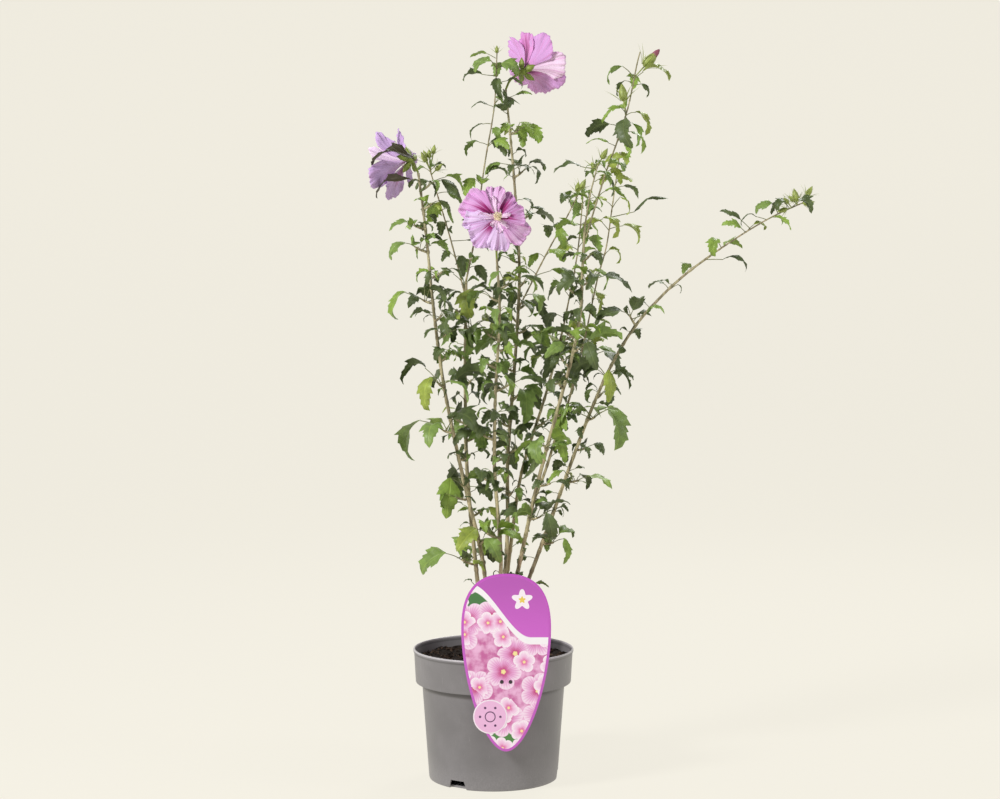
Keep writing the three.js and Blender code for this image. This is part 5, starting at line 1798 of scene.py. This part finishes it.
def petal(heap, flower, order, row, draws):
    """One ruffled petal, narrow at its foot, its edge crinkled and a little torn"""
    turn, length, spread, opening, rounding, eye, tint = row
    opening += flower.open
    t = np.linspace(0.02, 1, PETAL_ROWS)[:, None]
    c = np.linspace(-1, 1, PETAL_COLUMNS)[None]
    phases = PHASES * draws.rand(4)
    radius = flower.radius * length
    torn = 0.035 * np.sin(6 * c + phases[0]) + 0.035 * draws.rand(1, PETAL_COLUMNS)
    corner = np.abs(c) ** (2.6 if rounding < POINTED else 1.3)
    reach = radius * t * (1 - rounding * corner * t * t - torn * t ** 4)
    angle = np.radians(20 + (opening - 20) * np.minimum(1, 0.35 + 0.75 * t))
    frill = (np.sin(5 * c + phases[1]) + 1.1 * t ** 2 * np.sin(13 * c + phases[2])
             + 1.1 * t ** 5 * np.sin(27 * c + phases[3]))
    ruffle = flower.ruffle * (1 if length > 0.7 else 1.4)
    lift = 0.02 * draws.rand() + 0.05 * (tint == PALE_PETAL)
    wave = radius * (ruffle * t ** 2 * frill + 0.06 * c * t - 0.06 * t * np.cos(c * math.pi / 2) + lift * t)
    width = np.radians(spread * (0.5 + 0.7 * t ** 0.8 - 0.25 * t ** 3))
    around = math.radians(turn) + width * c + 0.25 * (draws.rand() - 0.5) * t * t
    forward = reach * np.cos(angle) + wave * np.sin(angle)
    outward = reach * np.sin(angle) - wave * np.cos(angle)
    points = flower.centre + forward[..., None] * flower.axis + outward[..., None] * flower.around(around)
    along = t * EYE_REACH / eye if eye else 0.7 + 0.3 * t
    marks = np.stack(np.broadcast_arrays(order + 0.5 + 0.49 * c, along), axis=-1)
    heap.add(points.reshape(-1, 3), grid_faces(PETAL_ROWS, PETAL_COLUMNS), tint, marks.reshape(-1, 2))


def make_petals(flower, tone, draws):
    """A bloom's petals, some of them in a paler tint and some in a lilac one"""
    petals = Heap(f"{flower.name}_petals")
    for order, row in enumerate(PETALS[flower.name]):
        petal(petals, flower, order, row, draws)
    tones = colours()
    white = shade(250, 228, 248)
    faces_front = flower.open > FACING
    eye = tones.petal_eye if faces_front else blend(tone, tones.petal_eye, 0.6)
    edge = blend(tone, white, 0.4) if faces_front else blend(tone, tones.petal_tip, 0.45)
    lilac = blend(tone, tones.petal_violet, 0.6)
    lilac_edge = blend(tones.petal_violet, white, 0.3)
    if not faces_front:
        lilac, lilac_edge = blend(lilac, tones.petal_eye, 0.26), edge
    sheet = petals.piece([petal_finish(f"{flower.name}_petal", tone, edge, eye),
                          petal_finish(f"{flower.name}_pale", blend(tone, white, 0.45),
                                       blend(tone, white, 0.8), eye),
                          petal_finish(f"{flower.name}_lilac", lilac, lilac_edge, eye)])
    modify(sheet, "thickness", "SOLIDIFY", thickness=PETAL_THICKNESS * MM)
    apply_modifiers(sheet)
    place(sheet, "petals", flower.name)


def make_stamens(flower, draws):
    """A bloom's stamen column: anthers all round it on short threads, and five stigmas at its tip"""
    heart = Heap(f"{flower.name}_stamens")
    length = flower.radius * 0.5
    line = [flower.centre + flower.axis * length * t for t in np.linspace(0, 1, 6)]
    heart.tube(line, [2.4, 2.1, 1.8, 1.6, 1.3, 0.9], 10)
    for k in range(sizes().anther_count):
        along = 0.28 + 0.7 * k / sizes().anther_count
        out = flower.around(2.4 * k)
        way = unit(out + flower.axis * 0.45)
        foot = flower.centre + flower.axis * length * along
        end = foot + way * (3.8 + 2.6 * draws.rand())
        heart.tube([foot, end], [0.3, 0.22], 4)
        heart.add(CRUMB_SHAPE * (0.9 + 0.4 * draws.rand()) + end, CRUMB_FACES)
    tip = line[-1]
    for k in range(STIGMAS):
        way = unit(flower.axis + flower.around(2 * math.pi * k / STIGMAS) * 0.5)
        heart.tube([tip, tip + way * 2.6, tip + way * 3.6], [0.4, 0.4, 0.9], 6)
    place(heart.piece([beads_finish(f"{flower.name}_stamen", colours().stamen)]), "petals")


def make_cup(flower, stalk):
    """A bloom's green parts: its stalk, its cup with five sepals, and narrow bracts round its foot"""
    cup = Heap(f"{flower.name}_cup")
    fine = smooth_points(stalk.points, len(stalk.points) * 4)
    cup.tube(fine[:-1], np.linspace(1.5, 2, len(fine) - 1), 10)
    back = flower.centre - flower.axis * 7
    cup.tube([back + flower.axis * depth for depth in CUP_DEPTHS], CUP_RADII, 15)
    lean = math.radians(flower.open + 10)
    for k in range(SEPALS):
        out = flower.around(2 * math.pi * (k + 0.3) / SEPALS)
        way = flower.axis * math.cos(lean) + out * math.sin(lean)
        bract(cup, flower.centre + out * 4.6 - flower.axis * 3.4, way, out, 16, 10.5, 0.1)
    for k in range(CUP_BRACTS):
        out = flower.around(2 * math.pi * k / CUP_BRACTS)
        bract(cup, back + out * 3.6 + flower.axis, unit(flower.axis * 0.7 + out), out, 13, 1.5, 0.2)
    place(cup.piece([plain_green(f"{flower.name}_green", colours().calyx)]), "young_leaves")


def make_bloom(plant, bloom):
    """One open bloom: its petals, its stamens, and its green cup and stalk"""
    flower = Flower(bloom)
    draws = np.random.RandomState(flower.seed)
    make_petals(flower, getattr(colours(), bloom["tone"]), draws)
    make_stamens(flower, draws)
    make_cup(flower, plant.stalks[flower.name])


# ---- Stage ----

CAMERA_DISTANCE = 2.8
CAMERA_HEIGHT = 0.68
CAMERA_X = 0.0095
HORIZON_SHIFT = -0.0965
FOCAL_LENGTH = 70.1
SENSOR = 36
SWEEP_FRONT = -4.2
SWEEP_BACK = 3.2
SWEEP_RADIUS = 1.2
SWEEP_HALF_WIDTH = 6
SWEEP_TOP = 5
BACKDROP_GLOW = 0.925
AIR_GLOW = 0.965
AIR_LIGHT = 0.22


def make_sweep():
    """A pale floor that curves up into a wall behind the plant"""
    heap = Heap("studio_sweep")
    turns = np.linspace(0, math.pi / 2, 24)
    profile = [(SWEEP_FRONT, 0.0)]
    profile += [(SWEEP_BACK + SWEEP_RADIUS * math.sin(t), SWEEP_RADIUS * (1 - math.cos(t))) for t in turns]
    profile.append((SWEEP_BACK + SWEEP_RADIUS, SWEEP_TOP))
    points = [(x, y, z) for y, z in profile for x in (-SWEEP_HALF_WIDTH, SWEEP_HALF_WIDTH)]
    heap.add(np.array(points) / MM, [face[::-1] for face in grid_faces(len(profile), 2)])
    finish = Finish("backdrop_paper", 0.95, Specular_IOR_Level=0.0)
    grain = finish.noise(finish.place(), 60)
    tone = colours().backdrop
    finish.paint(finish.mix(grain, scaled(tone, 0.11), scaled(tone, 0.12)))
    finish.put(finish.shader.inputs["Emission Color"], tone)
    finish.put(finish.shader.inputs["Emission Strength"], BACKDROP_GLOW)
    sweep = heap.piece([finish.material])


def add_light(name, place_at, aim, size, power):
    """A round lamp at a place, turned towards another"""
    light = bpy.data.lights.new(name, "AREA")
    light.shape = "DISK"
    light.size = size
    light.energy = power
    lamp = linked(name, light)
    lamp.location = place_at
    lamp.rotation_euler = (Vector(aim) - Vector(place_at)).to_track_quat("-Z", "Y").to_euler()


def studio_air(backdrop):
    """Soft light from all round, while the air itself looks as pale as the backdrop"""
    world = bpy.data.worlds.new("studio_air")
    world.use_nodes = True
    nodes, links = world.node_tree.nodes, world.node_tree.links
    air = nodes["Background"]
    air.inputs["Color"].default_value = (0.97, 0.98, 1, 1)
    air.inputs["Strength"].default_value = AIR_LIGHT
    seen = nodes.new("ShaderNodeBackground")
    seen.inputs["Color"].default_value = (*backdrop, 1)
    seen.inputs["Strength"].default_value = AIR_GLOW
    rays = nodes.new("ShaderNodeLightPath")
    both = nodes.new("ShaderNodeMixShader")
    links.new(rays.outputs["Is Camera Ray"], both.inputs[0])
    links.new(air.outputs[0], both.inputs[1])
    links.new(seen.outputs[0], both.inputs[2])
    links.new(both.outputs[0], nodes["World Output"].inputs["Surface"])
    return world


def make_stage():
    """The backdrop, three lamps, the air's own light and the camera"""
    make_sweep()
    middle = (0.05, 0, 0.55)
    add_light("key_light", (-2.1, -1.9, 2.3), middle, 0.7, 92)
    add_light("side_light", (2.4, -0.9, 1.6), middle, 0.7, 16)
    add_light("back_light", (0.9, 2.0, 2.5), middle, 0.9, 30)
    bpy.context.scene.world = studio_air(colours().backdrop)
    camera = bpy.data.cameras.new("studio_camera")
    camera.lens = FOCAL_LENGTH
    camera.sensor_width = SENSOR
    camera.shift_y = HORIZON_SHIFT
    camera.clip_end = 50
    lens = linked("studio_camera", camera)
    lens.location = (CAMERA_X, -CAMERA_DISTANCE, CAMERA_HEIGHT)
    lens.rotation_euler = (math.radians(90), 0, 0)
    bpy.context.scene.camera = lens
    bpy.context.scene.view_settings.view_transform = "Standard"


# ---- Operators and panel ----

grown = {}


def the_plant():
    """The grown plant, worked out once"""
    if "plant" not in grown:
        grown["plant"] = Plant()
    return grown["plant"]


class BuildPot(bpy.types.Operator):
    """Make the pot's turned shell with its drain notches"""
    bl_idname = "plant.build_pot"
    bl_label = "Pot"

    def execute(self, context):
        make_pot()
        return {"FINISHED"}


class BuildSoil(bpy.types.Operator):
    """Fill the pot with crumbly soil"""
    bl_idname = "plant.build_soil"
    bl_label = "Soil"

    def execute(self, context):
        make_soil_bed()
        make_crumbs()
        return {"FINISHED"}


class BuildLabel(bpy.types.Operator):
    """Make the egg-shaped plant label"""
    bl_idname = "plant.build_label"
    bl_label = "Label"

    def execute(self, context):
        make_label()
        make_tongue()
        return {"FINISHED"}


class BuildWood(bpy.types.Operator):
    """Make the crown, the canes and the twigs with their bark"""
    bl_idname = "plant.build_wood"
    bl_label = "Canes and twigs"

    def execute(self, context):
        make_crown(the_plant())
        make_canes(the_plant())
        make_twigs(the_plant())
        return {"FINISHED"}


class BuildLeaves(bpy.types.Operator):
    """Make the leaf blades of the tufts, canes and shoots"""
    bl_idname = "plant.build_leaves"
    bl_label = "Leaves"

    def execute(self, context):
        make_leaves(the_plant())
        return {"FINISHED"}


class BuildBlooms(bpy.types.Operator):
    """Make the closed buds and the open blooms"""
    bl_idname = "plant.build_blooms"
    bl_label = "Buds and blooms"

    def execute(self, context):
        make_buds(the_plant())
        for bloom in BLOOMS:
            make_bloom(the_plant(), bloom)
        return {"FINISHED"}


class BuildStage(bpy.types.Operator):
    """Make the floor, the lights and the camera"""
    bl_idname = "plant.build_stage"
    bl_label = "Stage"

    def execute(self, context):
        make_stage()
        return {"FINISHED"}


class PlantPanel(bpy.types.Panel):
    """The plant's steps, sizes and colours in the sidebar"""
    bl_idname = "VIEW3D_PT_plant"
    bl_label = "Potted Rose of Sharon"
    bl_space_type = "VIEW_3D"
    bl_region_type = "UI"
    bl_category = "Plant"

    def draw(self, context):
        for operator in STEPS:
            self.layout.operator(operator.bl_idname)
        for group in (context.scene.plant_sizes, context.scene.plant_colours):
            for name in group.__annotations__:
                self.layout.prop(group, name)


STEPS = (BuildPot, BuildSoil, BuildLabel, BuildWood, BuildLeaves, BuildBlooms, BuildStage)
CLASSES = (PlantColours, PlantSizes, *STEPS, PlantPanel)


def register():
    for each in CLASSES:
        bpy.utils.register_class(each)
    bpy.types.Scene.plant_colours = bpy.props.PointerProperty(type=PlantColours)
    bpy.types.Scene.plant_sizes = bpy.props.PointerProperty(type=PlantSizes)


def unregister():
    del bpy.types.Scene.plant_colours
    del bpy.types.Scene.plant_sizes
    for each in reversed(CLASSES):
        bpy.utils.unregister_class(each)


def main():
    register()
    bpy.ops.plant.build_pot()
    bpy.ops.plant.build_soil()
    bpy.ops.plant.build_label()
    bpy.ops.plant.build_wood()
    bpy.ops.plant.build_leaves()
    bpy.ops.plant.build_blooms()
    bpy.ops.plant.build_stage()


if __name__ == "__main__":
    main()
